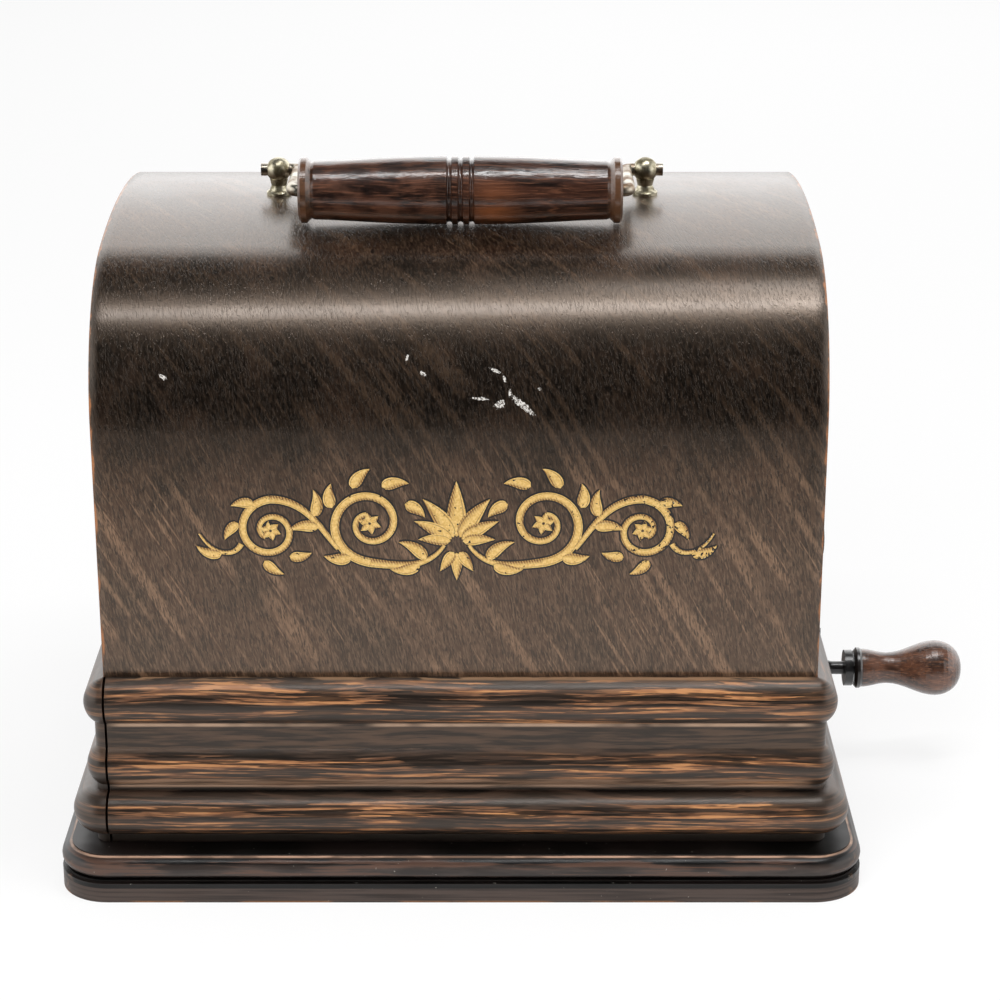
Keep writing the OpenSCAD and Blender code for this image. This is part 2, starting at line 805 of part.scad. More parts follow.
function blend(a, b, t) = a + (b - a) * (1 - cos(180 * t)) / 2;

// Half of the grip's outline, from the end to the middle, as [radius, distance from the middle]
function grip_half() =
    let (h = grip_len / 2, er = grip_end_d / 2, steps = 10)
    concat([[0, -h], [er - 0.8, -h], [er, -h + 0.8], [er, -h + 2.6], [er - 0.9, -h + 3.4], [er - 1.5, -h + 4.1]],
        [for (i = [0:steps]) let (t = i / steps)
            [blend(er - 1.15, grip_d / 2, pow(t, 0.75)), -h + 5 + (h - 11) * t]]);

module handle_grip() {
    groove_step = 3.7;
    half = grip_half();
    last = len(half) - 1;
    color([0.24, 0.09, 0.05])
        difference() {
            turned_x([grip_y, pivot_z + grip_lift], 0)
                polygon(concat(half, [for (i = [last:-1:0]) [half[i][0], -half[i][1]]]));
            for (i = [-1:1]) turned_x([grip_y, pivot_z + grip_lift], i * groove_step)
                translate([grip_d / 2, 0]) circle(r = 0.9, $fn = 24);
            bar_x([grip_y, pivot_z + grip_lift], bail_d, -grip_len, grip_len);
        }
}

// Crank, hanging down at rest
module crank_arm() {
    hub_d = 13;
    bend_r = 7.5;
    rod_z1 = shaft_z - crank_len + bend_r;
    color([0.1, 0.1, 0.105])
        difference() {
            union() {
                bar_x(shaft_p, hub_d, bar_x - 3.5, bar_x + crank_bar_t);
                along_x(bar_x, crank_bar_t) polygon([[-4.6, shaft_z], [4.6, shaft_z], [2.8, rod_z1 + 4], [-2.8, rod_z1 + 4]]);
                translate([rod_x, 0, rod_z1]) cylinder(d = crank_rod_d, h = 8);
                translate([rod_x + bend_r, 0, rod_z1]) rotate([90, 0, 0]) rotate([0, 0, 180])
                    rotate_extrude(angle = 90) disc([bend_r, 0], crank_rod_d);
                bar_x([0, shaft_z - crank_len], crank_rod_d, rod_x + bend_r, knob_x + knob_len - 8);
            }
            bar_x(shaft_p, shaft_d, bar_x - 5, bar_x + crank_bar_t + 1);
        }
}

module knob_washer() {
    color([0.12, 0.12, 0.12])
        difference() {
            bar_x([0, shaft_z - crank_len], 13.1, knob_x - 3.4, knob_x - 0.6);
            bar_x([0, shaft_z - crank_len], crank_rod_d, knob_x - 5, knob_x);
        }
}

module knob_outline() {
    steps = 8;
    waist_at = knob_len * 0.31;
    max_at = knob_len * 0.76;
    end = knob_len - max_at;
    fr = knob_flange_d / 2;
    wr = knob_waist_d / 2;
    mr = knob_d / 2;
    down = [for (i = [0:steps]) let (t = i / steps) [blend(fr - 0.5, wr, t), 2.8 + (waist_at - 2.8) * t]];
    up = [for (i = [1:steps]) let (t = i / steps) [blend(wr, mr, t), waist_at + (max_at - waist_at) * t]];
    cap = [for (i = [1:steps]) let (a = 90 * i / steps) [mr * pow(cos(a), 0.85), max_at + end * sin(a)]];
    polygon(concat([[0, 0], [fr - 1.2, 0], [fr, 1], [fr, 2]], down, up, cap));
}

module crank_knob() {
    color([0.36, 0.17, 0.08])
        difference() {
            turned_x([0, shaft_z - crank_len], knob_x) knob_outline();
            bar_x([0, shaft_z - crank_len], crank_rod_d + 2 * run_fit, knob_x - 1, knob_x + knob_len - 7.5);
        }
}

module winding_shaft() {
    color([0.6, 0.6, 0.61])
        union() {
            bar_x(shaft_p, shaft_d, left_plate_x - 2, bar_x + crank_bar_t);
            bar_x(shaft_p, shaft_d + 4, barrel_x + 6, barrel_x + barrel_len - 8);
        }
}

ratchet_teeth = 12;
ratchet_r = 12;
ratchet_t = 3;
ratchet_depth = 2.5;
module ratchet_wheel() {
    step = 360 / ratchet_teeth;
    color([0.55, 0.55, 0.56])
        difference() {
            along_x(ratchet_x, ratchet_t) translate(shaft_p)
                polygon([for (i = [0:ratchet_teeth - 1]) for (k = [0, 1])
                    polar(ratchet_r - (1 - k) * ratchet_depth, (i + k) * step)]);
            bar_x(shaft_p, shaft_d, ratchet_x - 1, ratchet_x + ratchet_t + 1);
        }
}

click_dir = 60;
click_bore = 4;
click_p = shaft_p + polar(21, click_dir + 48);
module click() {
    root = ratchet_r - ratchet_depth + 0.4;
    tip = [polar(root, click_dir + 3.8), polar(root + 1, click_dir + 12), polar(root + 4.4, click_dir + 16),
        polar(root + 3.4, click_dir + 3.8)];
    pv = click_p - shaft_p;
    color([0.5, 0.5, 0.52])
        difference() {
            union() {
                along_x(ratchet_x + 0.3, ratchet_t - 0.6) translate(shaft_p) {
                    polygon(tip);
                    polygon([tip[1], tip[3], pv + polar(3.2, click_dir + 40), pv - polar(3.2, click_dir + 50)]);
                }
                bar_x(click_p, 7.6, ratchet_x + 0.3, ratchet_x + ratchet_t - 0.3);
            }
            bar_x(click_p, click_bore + 2 * run_fit, ratchet_x - 1, ratchet_x + ratchet_t + 1);
        }
}

// Involute gear teeth: pressure angle, addendum and dedendum in tooth sizes
press = 25;
addendum = 0.75;
dedendum = 1;
function involute(t) = tan(t) * 180 / PI - t;
function half_tooth(n, r) =
    let (rp = n * tooth_size / 2, rb = rp * cos(press), a = acos(min(1, rb / max(r, rb))))
    (90 / n) - (backlash / 2) * 90 / (PI * rp) + involute(press) - involute(a);
module gear(n, phase, detail) {
    rp = n * tooth_size / 2;
    rb = rp * cos(press);
    ra = rp + addendum * tooth_size;
    rr = rp - dedendum * tooth_size;
    low = max(rr, rb);
    radii = concat(rr < rb ? [rr] : [], [for (k = [0:detail]) low + (ra - low) * k / detail]);
    m = len(radii);
    polygon([for (i = [0:n - 1]) for (k = [0:2 * m - 1])
        let (j = k < m ? k : 2 * m - 1 - k, r = radii[j], s = k < m ? -1 : 1)
        polar(r, phase + i * 360 / n + s * half_tooth(n, r))]);
}

// A wheel with five round windows between its hub and its rim
module crossed_wheel(n, phase, p, bore) {
    rp = n * tooth_size / 2;
    along_x(train_x, gear_t) translate(p)
        difference() {
            gear(n, phase, 1);
            circle(d = bore);
            for (i = [0:4]) disc(polar(rp * 0.58, phase + i * 72), rp * 0.48);
        }
}

module spring_barrel() {
    r = barrel_d / 2;
    color([0.68, 0.54, 0.26])
        difference() {
            bar_x(shaft_p, barrel_d, barrel_x, barrel_x + barrel_len);
            bar_x(shaft_p, barrel_d - 3, barrel_x + 2, barrel_x + barrel_len + 1);
            bar_x(shaft_p, shaft_d + 2 * run_fit, barrel_x - 1, barrel_x + 3);
        }
}

module barrel_cap() {
    x0 = barrel_x + barrel_len - 2;
    color([0.7, 0.57, 0.3])
        difference() {
            union() {
                bar_x(shaft_p, barrel_d - 3, x0, x0 + 2);
                bar_x(shaft_p, 16, x0, x0 + 4);
            }
            bar_x(shaft_p, shaft_d + 2 * run_fit, x0 - 1, x0 + 5);
            for (a = [0:120:240]) bar_x(shaft_p + polar(14.5, a), 7, x0 - 1, x0 + 3);
        }
}

module great_wheel() {
    color([0.72, 0.58, 0.28])
        difference() {
            along_x(great_x, gear_t) translate(shaft_p) gear(great_teeth, 0, 1);
            bar_x(shaft_p, shaft_d + 2 * run_fit, great_x - 1, great_x + gear_t + 1);
        }
}

module mainspring() {
    r0 = shaft_d / 2 + 2.6;
    r1 = barrel_d / 2 - 1.8 - spring_t;
    steps = 20 * spring_turns;
    function turn(i, o) = polar(r0 + (r1 - r0) * i / steps + o, 360 * spring_turns * i / steps);
    color([0.35, 0.37, 0.42])
        along_x(barrel_x + 4, barrel_len - 8) translate(shaft_p)
            polygon(concat([for (i = [0:steps]) turn(i, 0)], [for (i = [steps:-1:0]) turn(i, spring_t)]));
}

module second_arbor() {
    color([0.62, 0.62, 0.63])
        union() {
            bar_x(second_p, arbor_d, train_x - 2, great_x - 1);
            along_x(great_x - 0.6, gear_t + 0.4) translate(second_p) gear(pinion_teeth, second_pinion_phase, 2);
            bar_x(second_p, 4, great_x - 1, great_x + gear_t + 1);
        }
}

module second_wheel() {
    color([0.72, 0.58, 0.28]) crossed_wheel(second_teeth, second_phase, second_p, arbor_d);
}

// Mandrel: hollow tapered drum on a shaft
mandrel_shaft_d = 8;
module mandrel_drum() {
    r0 = mandrel_big_d / 2;
    r1 = mandrel_small_d / 2;
    w = mandrel_wall;
    hub = mandrel_shaft_d / 2;
    web = 4;
    color([0.74, 0.74, 0.75])
        difference() {
            turned_x(mandrel_p, drum_x)
                polygon([[hub, 0], [hub + 5, 0], [hub + 5, 2], [r0 - w, 2], [r0 - w, 0], [r0 - 0.6, 0], [r0, 0.6],
                    [r1, mandrel_len - 1], [r1 - 1, mandrel_len], [r1 - w, mandrel_len], [r1 - w, mandrel_len - 3],
                    [hub + 5, mandrel_len - 3], [hub + 5, mandrel_len], [hub, mandrel_len],
                    [hub, mandrel_len - 3 - web], [r1 - w, mandrel_len - 3 - web], [r0 - w, 2 + web], [hub, 2 + web]]);
            for (i = [0:4]) bar_x(mandrel_p + polar(13.5, i * 72 + 18), 8, drum_x + mandrel_len - 3 - web - 1, drum_x + mandrel_len + 1);
        }
}

module mandrel_shaft() {
    color([0.7, 0.7, 0.71])
        union() {
            bar_x(mandrel_p, mandrel_shaft_d, outer_stand_x - 2, drum_x + mandrel_len + 1);
            bar_x(mandrel_p, 12, inner_stand_x + inner_stand_t + 0.3, drum_x);
            bar_x(mandrel_p, 12, outer_stand_x - 4, outer_stand_x - 0.3);
        }
}

module mandrel_gear() {
    color([0.7, 0.56, 0.28])
        difference() {
            along_x(train_x - 0.5, gear_t + 1) translate(mandrel_p) gear(mandrel_teeth, mandrel_phase, 2);
            bar_x(mandrel_p, mandrel_shaft_d, train_x - 2, train_x + gear_t + 2);
        }
}

module feed_screw() {
    color([0.66, 0.66, 0.67])
        union() {
            bar_x(feed_p, feed_d, outer_stand_x - 1, right_stand_x + right_stand_t + 1);
            bar_x(feed_p, feed_d + 3, outer_stand_x + outer_stand_t + 0.3, train_x);
            bar_x(feed_p, feed_d + 3, right_stand_x - 3.3, right_stand_x - 0.3);
        }
}

module feed_gear() {
    color([0.72, 0.58, 0.28]) crossed_wheel(feed_teeth, feed_phase, feed_p, feed_d);
}

// Governor: spindle, disc and three weighted leaf springs
weight_r = 9.5;
disc_d = 26;
collar_x = left_plate_x + 8;
module governor_spindle() {
    color([0.62, 0.62, 0.63])
        union() {
            bar_x(governor_p, 4, train_x - 1, middle_plate_x + plate_t);
            along_x(train_x - 0.5, gear_t + 1) translate(governor_p) gear(pinion_teeth, governor_phase, 2);
            bar_x(governor_p, 10, collar_x - 4, collar_x);
        }
}

module governor_disc() {
    color([0.72, 0.58, 0.28])
        difference() {
            union() {
                bar_x(governor_p, disc_d, disc_x - 2, disc_x);
                bar_x(governor_p, 10, disc_x - 7, disc_x);
            }
            bar_x(governor_p, 4, disc_x - 8, disc_x + 1);
        }
}

module around_governor() {
    for (a = [90, 210, 330]) translate([0, governor_p[0], governor_p[1]]) rotate([a, 0, 0]) children();
}

module governor_springs() {
    x0 = collar_x - 3.5;
    x1 = disc_x - 3.5;
    xm = (x0 + x1) / 2;
    color([0.5, 0.52, 0.56])
        around_governor()
            translate([0, 3, 0]) rotate([90, 0, 0]) linear_extrude(6)
                polygon([[x0, 5], [x0 + 4, 5], [xm - 4, weight_r - 0.5], [xm + 4, weight_r - 0.5], [x1 - 4, 5], [x1, 5],
                    [x1, 5.5], [x1 - 3.6, 5.5], [xm + 4, weight_r], [xm - 4, weight_r], [x0 + 3.6, 5.5], [x0, 5.5]]);
}

module governor_weights() {
    xm = (collar_x + disc_x) / 2 - 3.5;
    color([0.66, 0.53, 0.26])
        around_governor() translate([xm, 0, weight_r]) cylinder(d = 7.5, h = 4.4);
}

// Speed control: a bell crank whose pad bears on the governor's disc
speed_x = disc_x - 8;
speed_y = -46;
speed_d = 4;
speed_pivot_x = disc_x + 3.5;
speed_pivot_y0 = -35;
speed_pivot_y1 = -12;
speed_pivot_z = 98;
speed_pivot_d = 3;
module speed_arm() {
    y1 = speed_pivot_y1 - 0.3;
    pad_y = governor_p[0];
    color([0.5, 0.5, 0.52])
        union() {
            translate([speed_pivot_x, speed_pivot_y0 - 3.4, speed_pivot_z]) rotate([-90, 0, 0])
                cylinder(d = speed_pivot_d, h = speed_pivot_y1 - speed_pivot_y0 + 6.8);
            translate([speed_pivot_x, speed_pivot_y0 + 0.3, speed_pivot_z]) rotate([-90, 0, 0])
                cylinder(d = 6, h = y1 - speed_pivot_y0 - 0.3);
            translate([speed_pivot_x - 1, pad_y - 2.5, governor_p[1] + 5]) cube([2, 5, speed_pivot_z - governor_p[1] - 5]);
            translate([disc_x + 0.3, pad_y, governor_p[1] + 8]) rotate([0, 90, 0]) cylinder(d = 6, h = 3);
            translate([speed_x - 3, speed_pivot_y0 + 1, speed_pivot_z - 1]) cube([speed_pivot_x - speed_x + 3, 5, 2]);
            translate([speed_x - 3, speed_y - 3, speed_pivot_z - 1]) cube([6, speed_pivot_y0 + 6 - speed_y + 3, 2]);
        }
}

module speed_screw() {
    head_z = deck_z + 5;
    color([0.72, 0.72, 0.7])
        union() {
            translate([speed_x, speed_y, speed_pivot_z + 1.3]) cylinder(d = speed_d, h = head_z - speed_pivot_z - 1);
            translate([speed_x, speed_y, head_z]) difference() {
                cylinder(d = 12, h = 4);
                for (a = [0:30:330]) rotate([0, 0, a]) translate([6.4, 0, -1]) cylinder(d = 1.6, h = 6);
            }
            translate([speed_x, speed_y, deck_z + 0.3]) cylinder(d = 7, h = 3);
        }
}

// Start and stop lever: upright spindle, brake arm below, flat lever and knob above
stop_x = disc_x - 2;
stop_y = 9;
stop_d = 5;
stop_pad_z = 78;
module stop_lever() {
    reach = [34, -68];
    a = atan2(reach[1], reach[0]);
    rim_y = governor_p[0] + sqrt(pow(disc_d / 2, 2) - pow(stop_pad_z - governor_p[1], 2));
    color([0.68, 0.68, 0.66])
        union() {
            translate([stop_x, stop_y, 76]) cylinder(d = stop_d, h = deck_z + 2 - 76);
            translate([stop_x, stop_y, 76]) cylinder(d = 9, h = 6);
            translate([stop_x - 1.5, rim_y + pass_gap, stop_pad_z]) cube([3, stop_y - rim_y - pass_gap, 3.4]);
            translate([stop_x, stop_y, deck_z + 0.3]) cylinder(d = 10, h = 1.5);
            translate([stop_x, stop_y, deck_z + 0.3]) rotate([0, 0, a]) translate([0, -3, 0]) cube([norm(reach), 6, 1.5]);
            translate([stop_x + reach[0], stop_y + reach[1], deck_z + 0.3]) rotate_extrude()
                polygon([[0, 0], [4, 0], [4, 2], [2.4, 3.5], [2.4, 6], [4.6, 9], [4.2, 12], [0, 13]]);
        }
}

// Carriage: a sleeve on the back rod and an arm that turns on the sleeve
module carriage_sleeve() {
    color([0.68, 0.55, 0.27])
        difference() {
            union() {
                bar_x(rod_p, rod_d + 5, sleeve_x, sleeve_x + sleeve_len);
                bar_x(rod_p, rod_d + 8, sleeve_x, sleeve_x + 3);
                bar_x(rod_p, rod_d + 8, sleeve_x + sleeve_len - 3, sleeve_x + sleeve_len);
            }
            bar_x(rod_p, rod_d + 2 * run_fit, sleeve_x - 1, sleeve_x + sleeve_len + 1);
        }
}

arm_w = 16;
ring_d = rod_d + 11;
module reproducer_arm() {
    x0 = arm_x - arm_w / 2;
    eye_d = reproducer_d + 8;
    slope = eye_z - rod_z;
    color([0.07, 0.07, 0.075])
        difference() {
            union() {
                bar_x(rod_p, ring_d, sleeve_x + 3.3, sleeve_x + sleeve_len - 3.3);
                along_x(x0, arm_w) polygon([[rod_y + 5, rod_z + 6], [rod_y - 8, rod_z + 5], [rod_y - 22, eye_z],
                    [mandrel_y + 10, eye_z], [mandrel_y + 10, eye_z + arm_t], [rod_y - 18, eye_z + arm_t],
                    [rod_y + 2, rod_z + 12]]);
                translate([arm_x, mandrel_y, eye_z]) cylinder(d = eye_d, h = arm_t);
                translate([arm_x - 5, guide_y - 3, eye_z]) cube([10, mandrel_y - 12 - guide_y, arm_t]);
                translate([arm_x - 4, guide_y - 2.5, guide_z + pass_gap]) cube([8, 5, eye_z - guide_z]);
            }
            bar_x(rod_p, rod_d + 5 + 2 * run_fit, sleeve_x, sleeve_x + sleeve_len);
            translate([arm_x, mandrel_y, eye_z - 1]) cylinder(d = reproducer_d, h = arm_t + 2);
        }
}

module half_nut() {
    color([0.7, 0.56, 0.28])
        difference() {
            translate([arm_x - 5, feed_p[0] - 4, feed_p[1] + 1]) cube([10, 8, eye_z - feed_p[1] - 1]);
            bar_x(feed_p, feed_d + 2 * pass_gap, arm_x - 6, arm_x + 6);
        }
}

// Reproducer: sound box with its neck, diaphragm, floating weight and stylus
module sound_box() {
    r = reproducer_d / 2;
    nr = neck_d / 2;
    seat = eye_z + arm_t - box_z;
    color([0.7, 0.69, 0.65])
        union() {
            translate([arm_x, mandrel_y, box_z]) rotate_extrude()
                polygon([[r - 3, 0], [r - run_fit, 0], [r - run_fit, seat], [r + 2.2, seat], [r + 2.2, seat + 1.2],
                    [r - 2, box_h], [nr + 3, box_h], [nr, box_h + 2], [nr, box_h + neck_h],
                    [nr - 1.5, box_h + neck_h], [nr - 1.5, box_h - 2.4], [r - 5, box_h - 3.4], [r - 5, 2], [r - 3, 2]]);
            for (s = [-1, 1]) translate([arm_x + s * 5.4 - 1, weight_pivot_y - 1.6, weight_pivot_z - 1.4])
                cube([2, 3.2, box_z - weight_pivot_z + 1.4 + eps]);
            bar_x([weight_pivot_y, weight_pivot_z], 1.6, arm_x - 6.2, arm_x + 6.2);
        }
}

module diaphragm() {
    color([0.75, 0.72, 0.64]) translate([arm_x, mandrel_y, box_z + 0.4]) cylinder(r = reproducer_d / 2 - 3, h = 1.2);
}

weight_pivot_y = 2.4;
weight_pivot_z = weight_z + weight_t / 2;
module floating_weight() {
    r = reproducer_d / 2 - 4;
    color([0.62, 0.6, 0.56])
        difference() {
            union() {
                translate([arm_x, mandrel_y, weight_z]) cylinder(r = r, h = weight_t);
                translate([arm_x - 4, mandrel_y, weight_z]) cube([8, weight_pivot_y - mandrel_y + 1.8, weight_t]);
            }
            translate([arm_x, mandrel_y, weight_z - 1]) cylinder(d = 7, h = weight_t + 2);
            bar_x([weight_pivot_y, weight_pivot_z], 1.6 + 2 * run_fit, arm_x - 5, arm_x + 5);
        }
}

module stylus() {
    color([0.8, 0.8, 0.82]) translate([arm_x, mandrel_y, 0]) union() {
        translate([-1, -1, weight_z - 1]) cube([2, 4.3, 1.6]);
        translate([0, 0, weight_z - 1]) cylinder(d = 1.4, h = box_z - weight_z + 0.5);
    }
}

plinth();
base_board();
locating_strips();
motor_case();
case_screws();
left_motor_plate();
middle_motor_plate();
right_motor_plate();
motor_pillars();
outer_bearing_stand();
inner_bearing_stand();
right_bearing_stand();
stand_screws();
back_rod();
guide_bar();
crank_bush();
lid_cover();
lid_end_left();
lid_end_right();
moulding_front();
moulding_back();
moulding_left();
moulding_right_front();
moulding_right_back();
roll_front();
roll_back();
roll_left();
roll_right_front();
roll_right_back();
lid_glue_blocks();
handle_posts();
handle_bail();
handle_grip();
crank_arm();
knob_washer();
winding_shaft();
ratchet_wheel();
crank_knob();
click();
spring_barrel();
barrel_cap();
great_wheel();
mainspring();
second_arbor();
second_wheel();
mandrel_drum();
mandrel_shaft();
mandrel_gear();
feed_screw();
feed_gear();
governor_spindle();
governor_disc();
governor_weights();
governor_springs();
speed_arm();
speed_screw();
stop_lever();
carriage_sleeve();
reproducer_arm();
half_nut();
sound_box();
diaphragm();
floating_weight();
stylus();
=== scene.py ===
"""Cylinder phonograph in its oak carrying case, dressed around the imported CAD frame."""

import math

import bmesh
import bpy
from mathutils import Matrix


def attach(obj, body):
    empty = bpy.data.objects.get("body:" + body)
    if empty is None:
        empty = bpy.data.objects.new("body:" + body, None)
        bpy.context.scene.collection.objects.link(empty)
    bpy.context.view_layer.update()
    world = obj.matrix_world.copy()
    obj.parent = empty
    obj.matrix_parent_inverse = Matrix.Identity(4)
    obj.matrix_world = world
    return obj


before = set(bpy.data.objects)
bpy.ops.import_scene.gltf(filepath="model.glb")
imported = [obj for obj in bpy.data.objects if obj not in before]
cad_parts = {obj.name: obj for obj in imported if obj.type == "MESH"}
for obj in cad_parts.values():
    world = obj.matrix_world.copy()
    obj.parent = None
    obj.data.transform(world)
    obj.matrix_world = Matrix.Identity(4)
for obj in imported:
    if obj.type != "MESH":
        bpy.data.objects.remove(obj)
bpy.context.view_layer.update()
scene = bpy.context.scene
scene.view_settings.view_transform = "Standard"

MM = 0.001


def box(name):
    """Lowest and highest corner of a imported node, in millimetres."""
    places = [vertex.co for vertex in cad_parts[name].data.vertices]
    low = [round(min(place[axis] for place in places) / MM, 3) for axis in range(3)]
    high = [round(max(place[axis] for place in places) / MM, 3) for axis in range(3)]
    return low, high


def middle_of(name):
    """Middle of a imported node's box, in millimetres."""
    low, high = box(name)
    return [(a + b) / 2 for a, b in zip(low, high)]


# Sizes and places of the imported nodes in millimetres, as the finishes need them
lid_low, lid_high = box("lid_cover")
LID_X, LID_Y, CROWN_Z = lid_high
SEAM_Z = lid_low[2]
GRIP_Y, GRIP_Z = middle_of("handle_grip")[1:]
KNOB_X = box("crank_knob")[0][0]
KNOB_Z = middle_of("crank_knob")[2]
FEED_Y, FEED_Z = middle_of("feed_screw")[1:]
MICA_X, MICA_Y = middle_of("diaphragm")[:2]
CASE_FOOT = 8.0
case_high = box("motor_case")[1]
CASE_X = case_high[0] - CASE_FOOT
CASE_Y = case_high[1] - CASE_FOOT
DECK_Z = case_high[2]

# Heights of the faces that show wear, and of the bands of painted light and shade, low and high, in
# millimetres
BASE_GROOVE = (5.3, 6.6)
BASE_REFLECTION = (9.5, 13.6)
BASE_STREAKS = (9.5, 15.0)
BASE_SHADE = (13.8, 15.1)
BASE_NOSE = (15.2, 15.5)
ROLL_FACE = (22.0, 33.5)
SHELF_PAINTED_LIGHT = (36.3, 40.2)
LOWER_FACE = (37.0, 48.6)
COVE = (49.0, 58.0)
LIP_WEAR_AND_REFLECTION = (58.2, 59.6)
UPPER_FACE = (59.4, 73.9)
LID_PAINTED_SHADE = (150.0, 206.0)


# Camera, placed as the photograph was taken
lens = bpy.data.cameras.new("camera")
lens.lens = 98.32
lens.sensor_width = 36.0
lens.clip_start = 0.01
lens.clip_end = 60.0
camera = bpy.data.objects.new("camera", lens)
camera.location = (0.013, -0.9155, 0.4408)
camera.rotation_euler = (math.radians(69.7), 0.0, 0.0)
scene.collection.objects.link(camera)
scene.camera = camera


# Small language for node graphs: a Value is a socket that can be added, multiplied and shaped
class Value:
    def __init__(self, graph, socket):
        self.graph = graph
        self.socket = socket

    def op(self, kind, other=0.0, swap=False):
        pair = (other, self) if swap else (self, other)
        return self.graph.math(kind, *pair)

    def __add__(self, other):
        return self.op("ADD", other)

    def __radd__(self, other):
        return self.op("ADD", other)

    def __sub__(self, other):
        return self.op("SUBTRACT", other)

    def __rsub__(self, other):
        return self.op("SUBTRACT", other, swap=True)

    def __mul__(self, other):
        return self.op("MULTIPLY", other)

    def __rmul__(self, other):
        return self.op("MULTIPLY", other)

    def __neg__(self):
        return self.op("MULTIPLY", -1.0)

    def least(self, other):
        return self.op("MINIMUM", other)

    def most(self, other):
        return self.op("MAXIMUM", other)

    def size(self):
        return self.op("ABSOLUTE")

    def sign(self):
        return self.op("SIGN")

    def sine(self):
        return self.op("SINE")

    def rise(self, low, high):
        """0 below low and 1 above high, smooth between. It falls where low is above high."""
        node = self.graph.add("ShaderNodeMapRange")
        node.interpolation_type = "SMOOTHSTEP"
        self.graph.put(node.inputs[0], self)
        start, end = (0.0, 1.0) if low < high else (1.0, 0.0)
        for index, number in zip((1, 2, 3, 4), (min(low, high), max(low, high), start, end)):
            node.inputs[index].default_value = number
        return Value(self.graph, node.outputs[0])

    def window(self, low, high, soft):
        """1 between low and high, with soft edges."""
        return self.rise(low - soft, low + soft) * self.rise(high + soft, high - soft)


class Graph:
    """One material, with object coordinates in millimetres as x, y and z."""

    def __init__(self, name, **settings):
        self.material = bpy.data.materials.new(name)
        self.material.use_nodes = True
        self.tree = self.material.node_tree
        self.tree.nodes.clear()
        output = self.add("ShaderNodeOutputMaterial")
        self.shader = self.add("ShaderNodeBsdfPrincipled")
        self.tree.links.new(self.shader.outputs[0], output.inputs[0])
        place = self.add("ShaderNodeTexCoord")
        scale = self.add("ShaderNodeVectorMath")
        scale.operation = "SCALE"
        self.tree.links.new(place.outputs["Object"], scale.inputs[0])
        scale.inputs["Scale"].default_value = 1.0 / MM
        parts = self.add("ShaderNodeSeparateXYZ")
        self.tree.links.new(scale.outputs[0], parts.inputs[0])
        self.x, self.y, self.z = (Value(self, s) for s in parts.outputs)
        for name_of_socket, number in settings.items():
            self.shader.inputs[name_of_socket.replace("_", " ")].default_value = number

    def add(self, kind):
        return self.tree.nodes.new(kind)

    def put(self, socket, value):
        if isinstance(value, Value):
            self.tree.links.new(value.socket, socket)
        else:
            socket.default_value = value

    def math(self, kind, first, second=0.0):
        node = self.add("ShaderNodeMath")
        node.operation = kind
        self.put(node.inputs[0], first)
        self.put(node.inputs[1], second)
        return Value(self, node.outputs[0])

    def vector(self, x, y, z):
        node = self.add("ShaderNodeCombineXYZ")
        for socket, value in zip(node.inputs, (x, y, z)):
            self.put(socket, value)
        return Value(self, node.outputs[0])

    def noise(self, x, y, z, detail=2.0, rough=0.55):
        node = self.add("ShaderNodeTexNoise")
        self.put(node.inputs["Vector"], self.vector(x, y, z))
        node.inputs["Scale"].default_value = 1.0
        node.inputs["Detail"].default_value = detail
        node.inputs["Roughness"].default_value = rough
        return Value(self, node.outputs[0])

    def even_noise(self, scale, detail):
        """Noise of one size in every direction, with scale patches to the millimetre."""
        return self.noise(self.x * scale, self.y * scale, self.z * scale, detail)

    def level_noise(self, length, thick, detail):
        """Noise in level streaks of a length and a thickness in millimetres."""
        scale = 1 / length
        return self.noise(self.x * scale, self.y * scale, self.z * (1 / thick), detail)

    def streaks(self, across, along, width, length, lean, seed, detail=2.0):
        """Noise drawn out along a direction that leans by lean degrees from the along axis."""
        c, s = math.cos(math.radians(lean)), math.sin(math.radians(lean))
        a = across * c + along * s
        b = along * c - across * s
        return self.noise(a * (1.0 / width), b * (1.0 / length), seed, detail)

    def mix(self, amount, first, second):
        node = self.add("ShaderNodeMix")
        node.data_type = "RGBA"
        self.put(node.inputs[0], amount)
        self.put(node.inputs[6], first)
        self.put(node.inputs[7], second)
        return Value(self, node.outputs[2])

    def attribute(self, name):
        node = self.add("ShaderNodeAttribute")
        node.attribute_name = name
        return Value(self, node.outputs["Fac"])

    def colour(self, value):
        self.put(self.shader.inputs["Base Color"], value)

    def rough(self, value):
        self.put(self.shader.inputs["Roughness"], value)

    def metal(self, value):
        self.put(self.shader.inputs["Metallic"], value)

    def bump(self, height, depth_mm, blend_mm=0.0):
        """Relief of a height. With blend_mm it also rounds off the edges between faces."""
        node = self.add("ShaderNodeBump")
        if blend_mm:
            round_off = self.add("ShaderNodeBevel")
            round_off.samples = 8
            round_off.inputs["Radius"].default_value = blend_mm * MM
            self.tree.links.new(round_off.outputs[0], node.inputs["Normal"])
        self.put(node.inputs["Height"], height)
        node.inputs["Distance"].default_value = depth_mm * MM
        self.tree.links.new(node.outputs[0], self.shader.inputs["Normal"])
        self.tree.links.new(node.outputs[0], self.shader.inputs["Coat Normal"])


def rgb(red, green, blue):
    """A colour as seen on a screen, 0 to 255, in linear light."""
    def linear(c):
        c = c / 255.0
        return c / 12.92 if c <= 0.04045 else ((c + 0.055) / 1.055) ** 2.4
    return (linear(red), linear(green), linear(blue), 1.0)


# Floor, dark cards, world and lamps, in metres
FLOOR_REACH = 9.0
FLOOR_GREY = 0.86
FLOOR_GLOW = 0.78
ROOM_X = 1.9
ROOM_Z = 1.7
ROOM_FRONT = -1.75
ROOM_BACK = 1.25
PAPER_FRONT = -0.30
PAPER_FADE = (-0.31, -0.62)
PAPER_LIFT = 0.002


